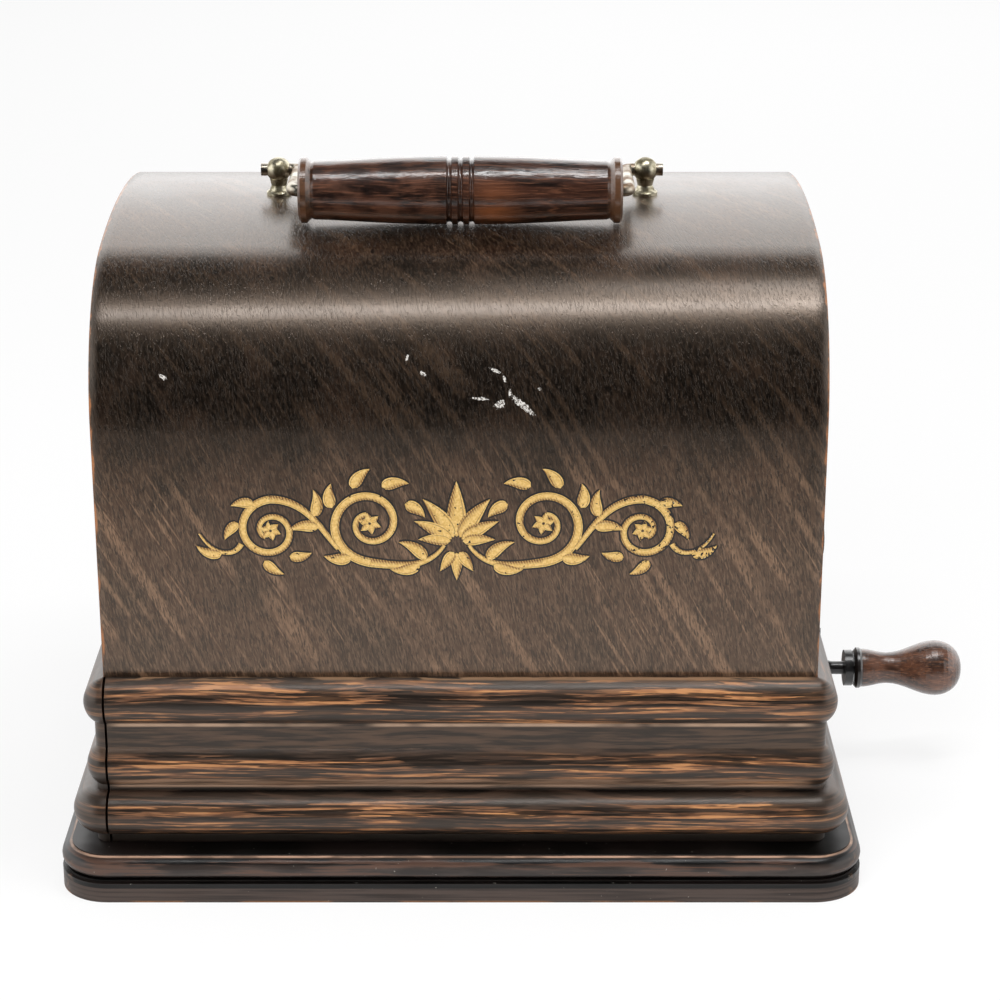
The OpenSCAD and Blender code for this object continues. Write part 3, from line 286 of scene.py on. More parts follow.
def pale_surface(name):
    """White to the camera, gloss and glass, and plain pale to other light, for a soft shadow."""
    material = bpy.data.materials.new(name)
    material.use_nodes = True
    tree = material.node_tree
    tree.nodes.clear()
    output = tree.nodes.new("ShaderNodeOutputMaterial")
    blend = tree.nodes.new("ShaderNodeMixShader")
    diffuse = tree.nodes.new("ShaderNodeBsdfDiffuse")
    diffuse.inputs["Color"].default_value = (FLOOR_GREY, FLOOR_GREY, FLOOR_GREY, 1.0)
    glow = tree.nodes.new("ShaderNodeEmission")
    glow.inputs["Color"].default_value = (1.0, 1.0, 1.0, 1.0)
    tree.links.new(background_share(tree, FLOOR_GLOW), blend.inputs[0])
    tree.links.new(diffuse.outputs[0], blend.inputs[1])
    tree.links.new(glow.outputs[0], blend.inputs[2])
    tree.links.new(blend.outputs[0], output.inputs[0])
    return material


def background_share(tree, share):
    """The given share for rays from the camera, gloss and glass, and 0 for the others."""
    path = tree.nodes.new("ShaderNodeLightPath")
    seen = path.outputs["Is Camera Ray"]
    for name in ("Is Glossy Ray", "Is Transmission Ray"):
        node = tree.nodes.new("ShaderNodeMath")
        node.operation = "MAXIMUM"
        tree.links.new(seen, node.inputs[0])
        tree.links.new(path.outputs[name], node.inputs[1])
        seen = node.outputs[0]
    node = tree.nodes.new("ShaderNodeMath")
    node.operation = "MULTIPLY"
    tree.links.new(seen, node.inputs[0])
    node.inputs[1].default_value = share
    return node.outputs[0]


def stage_plane(name, corners, material):
    mesh = bpy.data.meshes.new(name)
    mesh.from_pydata(corners, [], [(0, 1, 2, 3)])
    mesh.materials.append(material)
    plane = bpy.data.objects.new(name, mesh)
    scene.collection.objects.link(plane)
    return plane


def card_surface(name, grey, fade):
    """Plain dark surface. With fade it sets in softly between two places along Y."""
    material = bpy.data.materials.new(name)
    material.use_nodes = True
    tree = material.node_tree
    tree.nodes.clear()
    output = tree.nodes.new("ShaderNodeOutputMaterial")
    dark = tree.nodes.new("ShaderNodeEmission")
    dark.inputs["Color"].default_value = (grey, grey, grey, 1.0)
    tree.links.new(dark.outputs[0], output.inputs[0])
    if fade:
        place = tree.nodes.new("ShaderNodeTexCoord")
        parts = tree.nodes.new("ShaderNodeSeparateXYZ")
        tree.links.new(place.outputs["Object"], parts.inputs[0])
        share = tree.nodes.new("ShaderNodeMapRange")
        share.interpolation_type = "SMOOTHSTEP"
        tree.links.new(parts.outputs["Y"], share.inputs[0])
        for index, number in zip((1, 2, 3, 4), (fade[1], fade[0], 1.0, 0.0)):
            share.inputs[index].default_value = number
        blend = tree.nodes.new("ShaderNodeMixShader")
        clear = tree.nodes.new("ShaderNodeBsdfTransparent")
        tree.links.new(share.outputs[0], blend.inputs[0])
        tree.links.new(clear.outputs[0], blend.inputs[1])
        tree.links.new(dark.outputs[0], blend.inputs[2])
        tree.links.new(blend.outputs[0], output.inputs[0])
    return material


def reflection_card(name, corners, grey, fade=None):
    """A dark card that only reflections see."""
    card = stage_plane(name, corners, card_surface(name, grey, fade))
    card.visible_camera = False
    card.visible_diffuse = False
    card.visible_transmission = False
    card.visible_shadow = False


def level_corners(half_x, front, back, z):
    return [(-half_x, front, z), (half_x, front, z), (half_x, back, z), (-half_x, back, z)]


def build_stage():
    """Pale floor, and for reflections a dark ceiling, a dark room in front and the paper's end."""
    floor = level_corners(FLOOR_REACH, -FLOOR_REACH, FLOOR_REACH, 0.0)
    ceiling = level_corners(ROOM_X, ROOM_FRONT, ROOM_BACK, ROOM_Z)
    paper_end = level_corners(ROOM_X, ROOM_FRONT, PAPER_FRONT, PAPER_LIFT)
    outline = (-ROOM_X, 0.0), (ROOM_X, 0.0), (ROOM_X, ROOM_Z), (-ROOM_X, ROOM_Z)
    room = [(x, ROOM_FRONT, z) for x, z in outline]
    stage_plane("floor", floor, pale_surface("floor_paper"))
    reflection_card("ceiling_card", ceiling, grey=0.012)
    reflection_card("room_card", room, grey=0.006)
    reflection_card("paper_end", paper_end, grey=0.004, fade=PAPER_FADE)


def build_world():
    """White backdrop for the camera, gloss and glass, and a softer grey light for the rest."""
    world = bpy.data.worlds.new("studio")
    scene.world = world
    world.use_nodes = True
    tree = world.node_tree
    tree.nodes.clear()
    output = tree.nodes.new("ShaderNodeOutputWorld")
    blend = tree.nodes.new("ShaderNodeMixShader")
    tree.links.new(background_share(tree, 1.0), blend.inputs[0])
    light = tree.nodes.new("ShaderNodeBackground")
    light.inputs["Color"].default_value = (0.95, 0.95, 0.95, 1.0)
    light.inputs["Strength"].default_value = 0.5
    tree.links.new(light.outputs[0], blend.inputs[1])
    backdrop = tree.nodes.new("ShaderNodeBackground")
    backdrop.inputs["Color"].default_value = (1.0, 1.0, 1.0, 1.0)
    tree.links.new(backdrop.outputs[0], blend.inputs[2])
    tree.links.new(blend.outputs[0], output.inputs[0])

    # Reflections see the lit backdrop twice as bright as the camera does
    path = tree.nodes.new("ShaderNodeLightPath")
    brighter = tree.nodes.new("ShaderNodeMath")
    brighter.operation = "ADD"
    tree.links.new(path.outputs["Is Glossy Ray"], brighter.inputs[0])
    brighter.inputs[1].default_value = 1.0
    tree.links.new(brighter.outputs[0], backdrop.inputs["Strength"])


def lamp(name, place, target, width, depth, watts, in_gloss=True, spin=0.0):
    """Oblong lamp at a place, aimed at a target and spun by spin degrees round the upright."""
    light = bpy.data.lights.new(name, "AREA")
    light.shape = "RECTANGLE"
    light.size = width
    light.size_y = depth
    light.energy = watts
    holder = bpy.data.objects.new(name, light)
    holder.location = place
    aim = [t - p for t, p in zip(target, place)]
    length = math.sqrt(sum(a * a for a in aim))
    pitch = math.acos(-aim[2] / length)
    turn = math.atan2(aim[0], -aim[1]) if aim[0] or aim[1] else 0.0
    holder.rotation_euler = (-pitch, 0.0, turn + math.radians(spin))
    holder.visible_camera = False
    holder.visible_glossy = in_gloss
    scene.collection.objects.link(holder)


build_stage()
build_world()
# Each lamp's name, place, target, width, depth and watts
lamp("overhead_strip", (0.09, -0.30, 1.15), (0.09, -0.30, 0.0), 0.85, 0.12, 5.2, spin=20.0)
lamp("overhead_right", (0.27, -0.01, 1.15), (0.27, -0.01, 0.0), 0.34, 0.24, 1.5, spin=20.0)
lamp("front_fill", (-0.6, -1.5, 0.9), (0.0, 0.0, 0.08), 1.2, 1.2, 20.0, in_gloss=False)
lamp("side_fill", (1.5, -0.7, 0.9), (0.0, 0.0, 0.12), 0.9, 0.9, 6.0, in_gloss=False)
lamp("back_fill", (0.2, 1.6, 1.1), (0.0, 0.0, 0.12), 1.2, 1.2, 10.0, in_gloss=False)


# Materials
def spots(g, across, along, places, ragged):
    """1 inside small ragged spots, each given by its centre, half length, half width and lean."""
    found = None
    for cx, cz, half_l, half_w, lean in places:
        turn_x, turn_z = math.cos(math.radians(lean)), math.sin(math.radians(lean))
        dx = ((across - cx) * turn_x + (along - cz) * turn_z) * (1.0 / half_l)
        dz = ((along - cz) * turn_x - (across - cx) * turn_z) * (1.0 / half_w)
        reach = g.math("SQRT", dx * dx + dz * dz) + ragged
        inside = reach.rise(1.05, 0.85)
        found = inside if found is None else found.most(inside)
    return found


WARM_GLOSS = (1.0, 0.76, 0.58, 1.0)

# Flaked chips and small holes on the lid's front: centre X and Z, half length, half width, lean
CHIPS = [
    (-93.8, 177.0, 1.5, 0.6, -30), (-16.5, 182.6, 1.4, 0.4, 70), (-11.4, 178.0, 1.1, 0.6, -20),
    (11.7, 178.8, 1.9, 0.5, -22), (14.5, 176.3, 1.1, 0.45, -70), (6.7, 170.4, 2.5, 0.55, -4),
    (13.0, 168.6, 1.7, 1.2, 20), (16.1, 172.1, 1.2, 0.4, 80), (20.4, 168.2, 4.8, 0.95, -40),
    (25.6, 173.4, 0.5, 0.5, 0),
]
HOLES = [(-78.7, 204.7, 0.8, 0.5, 0), (-60.3, 203.3, 0.8, 0.5, 0), (-28.4, 208.7, 0.7, 0.4, 0)]


def oak_veneer():
    """Quarter-sawn veneer bent over the lid, its grain up the front, over the top and down."""
    g = Graph("oak_veneer_finish", Coat_Weight=0.42, Coat_Roughness=0.2, Coat_IOR=1.5,
              Specular_IOR_Level=0.85, Specular_Tint=WARM_GLOSS)
    facing = (-g.y).sign()
    front = facing.rise(0.0, 0.5)
    u = g.x
    v = g.y + (g.z - CROWN_Z) * facing
    clouds = g.noise(u * (1 / 24), v * (1 / 30), 3.1, 4.0, 0.62)
    bands = g.noise(u * (1 / 6), v * (1 / 170), 8.2, 2.0)
    grain = g.streaks(u, v, 0.7, 7.0, 8, 1.3, 4.0)
    dashes = g.streaks(u, v, 0.5, 2.8, 12, 2.7, 2.0)
    pores = g.streaks(u, v, 0.42, 2.6, 10, 9.4, 1.0).rise(0.56, 0.63)
    # Lighter towards the bottom and a little near the crown, broken up by the clouds
    thin = g.z.rise(188.0, 112.0) + g.z.rise(196.0, 209.0) * 0.35 + (clouds - 0.5) * 0.8
    thin = thin.most(0.0).least(1.0)
    sway = (g.noise(u * (1 / 90), v * (1 / 90), 5.5, 1.0) - 0.5) * 9.0
    broad_fleck = g.streaks(u + sway, v, 3.2, 75.0, 32, 4.4, 0.0).rise(0.57, 0.72)
    fine_fleck = g.streaks(u + sway, v, 1.2, 40.0, 30, 7.9, 1.0).rise(0.60, 0.72)
    where = g.noise(u * (1 / 34), v * (1 / 30), 6.6, 3.0).rise(0.36, 0.56)
    broken = 0.4 + 0.6 * dashes.rise(0.30, 0.55)
    ragged_fleck = (broad_fleck * 0.8).most(fine_fleck * 0.9) * where * broken
    tone = (clouds * 0.66 + bands * 0.12 + thin * 0.22).rise(0.37, 0.66)
    base = g.mix(tone, rgb(5, 4, 3), rgb(52, 35, 25))
    base = g.mix(grain.rise(0.42, 0.66) * (0.18 + 0.28 * thin), base, rgb(82, 64, 50))
    base = g.mix(dashes.rise(0.50, 0.62) * (0.12 + 0.18 * thin), base, rgb(122, 98, 78))
    low = g.z.rise(176.0, 120.0)
    base = g.mix(ragged_fleck * (0.22 + 0.36 * low), base, rgb(136, 106, 82))
    base = g.mix(pores * 0.75, base, rgb(8, 6, 5))
    # Painted shade: the upper front below the shoulder is darkened
    base = g.mix(g.z.window(*LID_PAINTED_SHADE, 10.0) * 0.55, base, rgb(9, 7, 6))
    ragged = (g.noise(u * 1.5, g.z * 1.5, 1.7, 3.0) - 0.5) * 2.4
    chips = spots(g, u, g.z, CHIPS, ragged * 0.8) * front
    flaking = g.streaks(u, v, 0.5, 0.9, 40, 6.1, 2.0).rise(0.40, 0.56)
    base = g.mix(chips * (0.12 + 0.88 * flaking), base, rgb(196, 193, 188))
    holes = spots(g, u, g.z, HOLES, ragged * 0.3) * front
    base = g.mix(holes, base, rgb(2, 2, 2))
    rub = g.noise(u * 0.5, v * (1 / 7), 2.2, 3.0)
    edge = (g.x.size() + rub * 2.6 + (clouds - 0.5) * 1.6).rise(LID_X + 0.5, LID_X + 1.3)
    base = g.mix(edge * (0.4 + 0.5 * rub.rise(0.42, 0.6)), base, rgb(164, 104, 60))
    end_grain = g.x.size().rise(LID_X - 0.06, LID_X - 0.02) * (0.55 + 0.4 * dashes)
    base = g.mix(end_grain, base, rgb(50, 33, 23))
    g.colour(base)
    g.rough(0.20 + 0.14 * clouds + 0.25 * chips + 0.08 * dashes)
    g.bump(grain * 0.3 - pores * 0.8 + dashes * 0.4, 0.04, blend_mm=5.0)
    return g.material


def oak_end():
    """End panels of the lid: the same stain on flat oak with level grain."""
    g = Graph("oak_end_finish", Coat_Weight=0.5, Coat_Roughness=0.25, Specular_IOR_Level=0.35)
    sway = (g.noise(g.y * (1 / 60), g.z * (1 / 30), 2.0, 1.0) - 0.5) * 14.0
    broad = g.noise(g.x * (1 / 20), g.y * (1 / 130), (g.z + sway) * (1 / 7), 3.0)
    grain = g.noise(g.x * 0.3, g.y * (1 / 22), (g.z + sway) * (1 / 0.7), 3.0)
    pores = g.noise(g.x, g.y * (1 / 6), g.z * (1 / 0.4), 1.0).rise(0.60, 0.70)
    base = g.mix(broad.rise(0.35, 0.66), rgb(29, 22, 19), rgb(70, 48, 36))
    base = g.mix(grain.rise(0.45, 0.72) * 0.5, base, rgb(98, 70, 52))
    base = g.mix(pores * 0.8, base, rgb(14, 10, 9))
    g.colour(base)
    g.rough(0.36 + 0.2 * broad)
    g.bump(grain * 0.5 - pores, 0.08)
    return g.material


def rubbed_oak():
    """Dark mouldings whose high faces are rubbed through to orange wood in thin ragged lines."""
    g = Graph("moulding_oak_finish", Coat_Weight=0.55, Coat_Roughness=0.32, Coat_IOR=1.5,
              Specular_IOR_Level=0.6, Specular_Tint=WARM_GLOSS)
    seed = 3.0
    sway = (g.noise(g.x * (1 / 75), g.y * (1 / 75), g.z * (1 / 14) + seed, 1.0) - 0.5) * 5.0

    def lines(length, thick, shift, detail=2.0, tilt=0.0):
        """Level lines that sway a little, each set with its own shift."""
        height = (g.z + sway + (g.x + g.y) * tilt) * (1 / thick)
        return g.noise(g.x * (1 / length), g.y * (1 / length), height + seed + shift, detail)

    ground = lines(22, 0.8, 0.0, 3.0)
    dark = lines(34, 1.1, 3.7, 3.0)
    long_lines = lines(60, 1.1, 8.1, 4.0, 0.006)
    short_lines = lines(18, 0.8, 5.2, 3.0)
    tint = lines(11, 0.9, 1.9)
    patch = g.noise(g.x * (1 / 34), g.y * (1 / 34), g.z * (1 / 7) + seed, 2.0)
    right = g.x.rise(-150.0, 60.0)
    faces = g.z.window(*UPPER_FACE, 0.5).most(g.z.window(*LOWER_FACE, 1.0))
    faces = faces.most(g.z.window(*ROLL_FACE, 1.2))
    on_front = g.x.size().rise(LID_X + 1.0, LID_X - 5.5)
    worn = faces * (0.3 + 0.7 * on_front)
    level = long_lines * 0.72 + short_lines * 0.28 + (patch - 0.5) * 0.34 + (right - 0.6) * 0.02
    base = g.mix(ground.rise(0.42, 0.56), rgb(10, 8, 7), rgb(52, 38, 30))
    brown = g.mix(tint.rise(0.40, 0.60), rgb(92, 58, 37), rgb(132, 90, 60))
    base = g.mix(level.rise(0.49, 0.51) * worn * 0.7, base, brown)
    tan = g.mix(tint.rise(0.42, 0.58), rgb(146, 96, 58), rgb(178, 124, 78))
    base = g.mix(level.rise(0.565, 0.58) * worn * (0.66 + 0.24 * right), base, tan)
    cuts = dark.rise(0.485, 0.465)
    base = g.mix(cuts * 0.85, base, rgb(11, 8, 7))
    figure = g.noise(g.x * (1 / 18), g.y * (1 / 18), (g.z + sway * 0.5) * (1 / 1.3) + seed, 3.0)
    cove = g.z.window(*COVE, 1.0)
    base = g.mix(cove * figure.rise(0.42, 0.62) * 0.5, base, rgb(84, 62, 46))
    base = g.mix(cove * figure.rise(0.46, 0.38) * 0.6, base, rgb(10, 8, 7))
    # Pale lower edge of the upper bulge: worn wood and a painted reflection of the floor
    lip_wear_and_reflection = g.z.window(*LIP_WEAR_AND_REFLECTION, 0.4)
    lip_wear_and_reflection = lip_wear_and_reflection * g.noise(g.x * (1 / 20), g.y * (1 / 20), 0.5, 2.0).rise(0.3, 0.6)
    base = g.mix(lip_wear_and_reflection * 0.8 * on_front, base, rgb(172, 142, 118))
    # Painted light on the underside of the lower bulge, lifting the shade that falls there
    shelf_painted_light = g.z.window(*SHELF_PAINTED_LIGHT, 0.5) * (0.35 + 0.65 * ground.rise(0.38, 0.55))
    base = g.mix(shelf_painted_light * 0.7 * on_front, base, rgb(150, 120, 98))
    rim = g.z.rise(SEAM_Z - 0.7, SEAM_Z - 0.3) * (short_lines + right * 0.12).rise(0.50, 0.58)
    base = g.mix(rim * 0.6 * on_front, base, rgb(150, 116, 86))
    # Painted shade and grime under the roll, nearly black
    shade_and_grime_under = g.z.rise(22.5, 20.0)
    base = g.mix(shade_and_grime_under * 0.9, base, rgb(8, 6, 5))
    g.colour(base)
    g.rough(0.4 + 0.25 * ground)
    dents = g.level_noise(9, 5, 2.0)
    g.bump(dark * 0.25 + ground * 0.35 + figure * 0.2 + dents * 1.5, 0.09)
    return g.material


def base_wood():
    """Base boards stained nearly black, brown along the rubbed top of the rounded edge, some shade
    and reflection painted.
    """
    g = Graph("base_wood_finish", Coat_Weight=0.25, Coat_Roughness=0.28, Coat_IOR=1.5,
              Specular_IOR_Level=0.25)
    lines = g.level_noise(40, 0.9, 3.0)
    patch = g.level_noise(26, 4, 3.0)
    dust = g.even_noise(0.8, 1.0).rise(0.76, 0.80)
    base = g.mix(lines.rise(0.35, 0.7), rgb(7, 6, 5), rgb(24, 18, 16))
    # Painted shade under the nose of the rounded edge
    base = g.mix(g.z.window(*BASE_SHADE, 0.2) * 0.75, base, rgb(5, 4, 4))
    low = g.z.rise(5.4, 4.9)
    base = g.mix(low * (0.35 + 0.5 * lines.rise(0.3, 0.6)), base, rgb(74, 62, 56))
    nose = g.z.window(*BASE_NOSE, 0.1)
    broken = g.level_noise(16, 1, 4.0).rise(0.40, 0.56)
    base = g.mix(nose * (0.35 + 0.6 * broken), base, rgb(184, 150, 128))
    # Painted reflection of the floor on the lower rounding of the edge, patchy
    face = g.z.window(*BASE_REFLECTION, 0.5)
    base = g.mix(face * (0.35 + 0.5 * patch.rise(0.35, 0.6)), base, rgb(70, 60, 55))
    streaky = g.z.window(*BASE_STREAKS, 0.8) * (lines * 0.7 + patch * 0.6 - 0.15).rise(0.50, 0.58)
    base = g.mix(streaky * 0.5, base, rgb(96, 68, 54))
    groove = g.z.window(*BASE_GROOVE, 0.15)
    base = g.mix(groove * 0.8, base, rgb(8, 7, 6))
    rim = g.z.rise(0.8, 0.4) * (patch + 0.12).rise(0.58, 0.66)
    base = g.mix(rim * 0.8, base, rgb(120, 84, 56))
    corner = (g.x.size() - LID_X).rise(11.0, 15.0) * (g.y.size() - LID_Y).rise(6.0, 12.0)
    worn = corner * g.noise(g.x * 0.35, g.y * 0.35, g.z * 0.5, 3.0).rise(0.52, 0.6)
    base = g.mix(worn * 0.8, base, rgb(120, 92, 70))
    base = g.mix(dust * 0.5, base, rgb(170, 165, 155))
    g.colour(base)
    g.rough(0.38 + 0.3 * patch.rise(0.4, 0.8) + 0.2 * low)
    g.bump(lines * 0.5 + patch * 1.6 + dust * 0.2, 0.16)
    return g.material


def plain_wood():
    """Bare inner wood, browned by age."""
    g = Graph("plain_wood_finish", Roughness=0.62)
    grain = g.level_noise(24, 0.9, 3.0)
    stain = g.level_noise(30, 20, 3.0)
    base = g.mix(grain.rise(0.3, 0.7), rgb(126, 88, 54), rgb(176, 132, 86))
    base = g.mix(stain.rise(0.45, 0.75) * 0.6, base, rgb(92, 62, 40))
    g.colour(base)
    g.bump(grain, 0.08)
    return g.material


def turned_wood(name, axis_y, axis_z, stains, length, coat_rough):
    """Turned wood with its grain along X: its graph, colour, broad grain, fine grain and pores."""
    dark, mid, light = stains
    g = Graph(name, Coat_Weight=1.0, Coat_Roughness=coat_rough, Specular_IOR_Level=0.4)
    y, z = g.y - axis_y, g.z - axis_z
    sway = (g.noise(g.x * (1 / 30), y * (1 / 12), z * (1 / 12), 1.0) - 0.5) * 3.0
    broad = g.noise(g.x * (1 / length), (y + sway) * (1 / 4), (z + sway) * (1 / 4), 3.0)
    grain = g.noise(g.x * (1 / 12), (y + sway) * (1 / 0.55), (z + sway) * (1 / 0.55), 3.0)
    pores = g.noise(g.x * (1 / 3.5), y * (1 / 0.3), z * (1 / 0.3), 1.0).rise(0.62, 0.72)
    base = g.mix(broad.rise(0.36, 0.64), dark, mid)
    base = g.mix(grain.rise(0.46, 0.7) * 0.6, base, light)
    base = g.mix(pores * 0.7, base, dark)
    return g, base, broad, grain, pores


def grip_wood():
    """Turned carrying grip, worn dull on its left half and redder on its right, with a painted
    highlight.
    """
    stains = rgb(20, 11, 8), rgb(54, 30, 20), rgb(104, 64, 42)
    g, base, broad, grain, _ = turned_wood("grip_wood_finish", GRIP_Y, GRIP_Z, stains, 24, 0.15)
    # Painted orange highlight right of the middle, on the grip's lower half
    glow = g.x.window(7.0, 15.0, 8.0) * (g.z - GRIP_Z).rise(9.0, -5.0) * broad.rise(0.25, 0.6)
    base = g.mix(glow * 0.6, base, rgb(150, 86, 46))
    grooves = g.x.size().window(3.0, 4.4, 0.3).most(g.x.size().rise(0.9, 0.5))
    base = g.mix(grooves * 0.35, base, rgb(16, 8, 6))
    ends = g.x.size().rise(47.5, 50.5)
    base = g.mix(ends * 0.8, base, rgb(84, 56, 36))
    worn = g.noise(g.x * (1 / 9), (g.y - GRIP_Y) * (1 / 5), (g.z - GRIP_Z) * (1 / 5), 4.0)
    left = g.x.rise(8.0, -12.0)
    base = g.mix(worn.rise(0.45, 0.62) * left * 0.4, base, rgb(90, 58, 42))
    base = g.mix(worn.rise(0.50, 0.36) * left * 0.65, base, rgb(15, 10, 8))
    g.colour(base)
    g.rough(0.22 + 0.25 * grain)
    g.bump(grain * 0.3 + worn * 2.0, 0.14)
    return g.material


def knob_wood():
    """Turned crank knob with a blackened flange."""
    stains = rgb(46, 26, 16), rgb(92, 56, 37), rgb(136, 90, 62)
    g, base, _, grain, pores = turned_wood("knob_wood_finish", 0.0, KNOB_Z, stains, 16, 0.22)
    flange = g.x.rise(KNOB_X + 3.4, KNOB_X + 2.4)
    base = g.mix(flange * 0.95, base, rgb(14, 12, 11))
    tip = g.x.rise(KNOB_X + 34.0, KNOB_X + 38.0)
    base = g.mix(tip * 0.4, base, rgb(60, 34, 25))
    g.colour(base)
    g.rough(0.34 + 0.2 * grain)
    g.bump(grain * 0.6 - pores, 0.05)
    return g.material


def metal(name, clean, tarnished, cloud_mm, rough_low, rough_high, brushed=0.0):
    """A metal with clouds of tarnish, fine pits and, where brushed, turning marks round X."""
    g = Graph(name)
    clouds = g.even_noise(1 / cloud_mm, 4.0)
    pits = g.even_noise(1.6, 2.0)
    turning = g.noise(g.x * (1 / 0.22), g.y * 0.02, g.z * 0.02, 2.0)
    age = clouds.rise(0.4, 0.66)
    base = g.mix(age, clean, tarnished)
    base = g.mix(pits.rise(0.66, 0.74) * 0.35, base, tarnished)
    g.colour(base)
    g.metal(1.0)
    g.rough(rough_low + (rough_high - rough_low) * age + turning * (0.25 * brushed))
    g.bump(pits * 0.4 + turning * brushed, 0.02)
    return g.material


def black_steel():
    """Blackened steel with a few rubbed places."""
    g = Graph("black_steel_finish", Specular_IOR_Level=0.6, Coat_Weight=0.8, Coat_Roughness=0.2)
    clouds = g.even_noise(0.3, 4.0)
    rub = g.even_noise(1.4, 3.0).rise(0.6, 0.72)
    base = g.mix(clouds.rise(0.35, 0.7), rgb(17, 17, 18), rgb(40, 39, 39))
    g.colour(g.mix(rub * 0.5, base, rgb(96, 92, 88)))
    g.metal(0.35 + 0.3 * rub)
    g.rough(0.34 + 0.2 * clouds)
    g.bump(clouds, 0.04)
    return g.material


# Gold line on the case's front: half width, half height and the height of its middle
PANEL_X = 74.5
PANEL_HALF_Z = 35.0
PANEL_Z = 66.0


def japanned_iron():
    """Black lacquered castings with gold lines round the top plate and the front panel."""
    g = Graph("japanned_iron_finish", Coat_Weight=0.9, Coat_Roughness=0.08)
    clouds = g.even_noise(1 / 14, 3.0)
    peel = g.even_noise(0.7, 2.0)
    across, deep = g.x.size(), g.y.size()
    inset = (CASE_X - across).least(CASE_Y - deep)
    top = g.z.rise(DECK_Z - 0.2, DECK_Z - 0.05) * g.z.rise(DECK_Z + 0.4, DECK_Z + 0.2)
    deck_line = inset.window(5.0, 5.9, 0.12).most(inset.window(7.4, 7.7, 0.1)) * top
    face = (-g.y).rise(CASE_Y - 0.4, CASE_Y - 0.1) * g.z.window(30.0, 104.0, 0.3)
    panel = (PANEL_X - across).least(PANEL_HALF_Z - (g.z - PANEL_Z).size())
    face_line = panel.window(0.0, 0.8, 0.12) * face
    wear = g.even_noise(0.25, 3.0).rise(0.66, 0.56)
    gold = deck_line.most(face_line) * wear
    base = g.mix(clouds.rise(0.35, 0.7), rgb(10, 10, 11), rgb(22, 21, 21))
    base = g.mix(gold, base, rgb(196, 150, 72))
    g.colour(base)
    g.metal(gold * 0.6)
    g.rough(0.24 + 0.2 * clouds)
    g.bump(peel, 0.05)
    return g.material


# Fine thread of the feed screw: its pitch, and where it starts and ends along X
THREAD_PITCH = 0.6
THREAD_ENDS = (-62.0, 72.0)


def screw_thread():
    """Bright steel with the fine thread of the feed screw."""
    g = Graph("feed_thread_finish")
    turn = g.math("ARCTAN2", g.z - FEED_Z, g.y - FEED_Y)
    thread = (g.x * (2 * math.pi / THREAD_PITCH) + turn).sine()
    body = g.x.window(*THREAD_ENDS, 0.3)
    clouds = g.even_noise(0.15, 3.0)
    g.colour(g.mix((thread * body).rise(0.2, -0.9) * 0.7, rgb(176, 176, 178), rgb(60, 58, 56)))
    g.metal(1.0)
    g.rough(0.24 + 0.2 * clouds)
    g.bump(thread * body, 0.12)
    return g.material


def mica():
    """Pale mica disc with faint rings."""
    g = Graph("mica_finish", Roughness=0.35, Coat_Weight=0.5)
    flakes = g.even_noise(0.3, 4.0)
    dx, dy = g.x - MICA_X, g.y - MICA_Y
    rings = (g.math("SQRT", dx * dx + dy * dy) * 3.0).sine()
    base = g.mix(flakes.rise(0.3, 0.7), rgb(190, 182, 160), rgb(224, 218, 200))
    g.colour(g.mix(rings.rise(0.7, 1.0) * 0.3, base, rgb(150, 140, 118)))
    return g.material


def gold_print():
    """Aged gold transfer with brown hatching on its shaded side and a dark inner line."""
    g = Graph("gold_print_finish", Coat_Weight=0.4, Coat_Roughness=0.25, Specular_IOR_Level=0.4)
    side = g.attribute("side")
    way = g.attribute("way")
    hatch = (g.x * 7.0 + g.z * 3.0).sine() * 0.5 + 0.5
    shade = (side * 0.75 + way * 0.45).rise(0.15, 1.0)
    cloth = g.noise(g.x * 1.2, g.y, g.z * 1.2, 3.0)
    base = g.mix(cloth.rise(0.35, 0.7), rgb(206, 166, 92), rgb(226, 192, 122))
    base = g.mix(shade * (0.4 + 0.6 * hatch.rise(0.3, 0.8)), base, rgb(120, 78, 42))
    line = side.size().window(0.66, 0.8, 0.04)
    base = g.mix(line * 0.55, base, rgb(84, 58, 36))
    flakes = g.noise(g.x * 0.75, g.y, g.z * 0.75, 3.0)
    lost = (flakes + g.x.rise(35.0, 90.0) * 0.12).rise(0.66, 0.69)
    base = g.mix(lost, base, rgb(38, 29, 24))
    specks = g.noise(g.x * 1.3, 4.0, g.z * 1.3, 2.0) + g.x.rise(50.0, 90.0) * 0.09
    specks = specks.rise(0.74, 0.77)
    base = g.mix(specks, base, rgb(222, 214, 196))
    g.colour(base)
    g.metal(0.25)
    g.rough(0.36 + 0.2 * cloth)
    g.bump(flakes, 0.03)
    return g.material


def print_shadow():
    """Sooty dark edge round the gold."""
    g = Graph("print_shadow_finish", Roughness=0.4, Coat_Weight=0.4, Coat_Roughness=0.25)
    soot = g.noise(g.x * 0.8, g.y, g.z * 0.8, 3.0)
    g.colour(g.mix(soot.rise(0.3, 0.7), rgb(16, 12, 10), rgb(30, 23, 19)))
    return g.material


FINISHES = {
    "oak_veneer": oak_veneer(),
    "oak_end": oak_end(),
    "moulding_oak": rubbed_oak(),
    "base_wood": base_wood(),
    "plain_wood": plain_wood(),
    "grip_wood": grip_wood(),
    "knob_wood": knob_wood(),
    "japanned_iron": japanned_iron(),
    "black_steel": black_steel(),
    "mica": mica(),
}

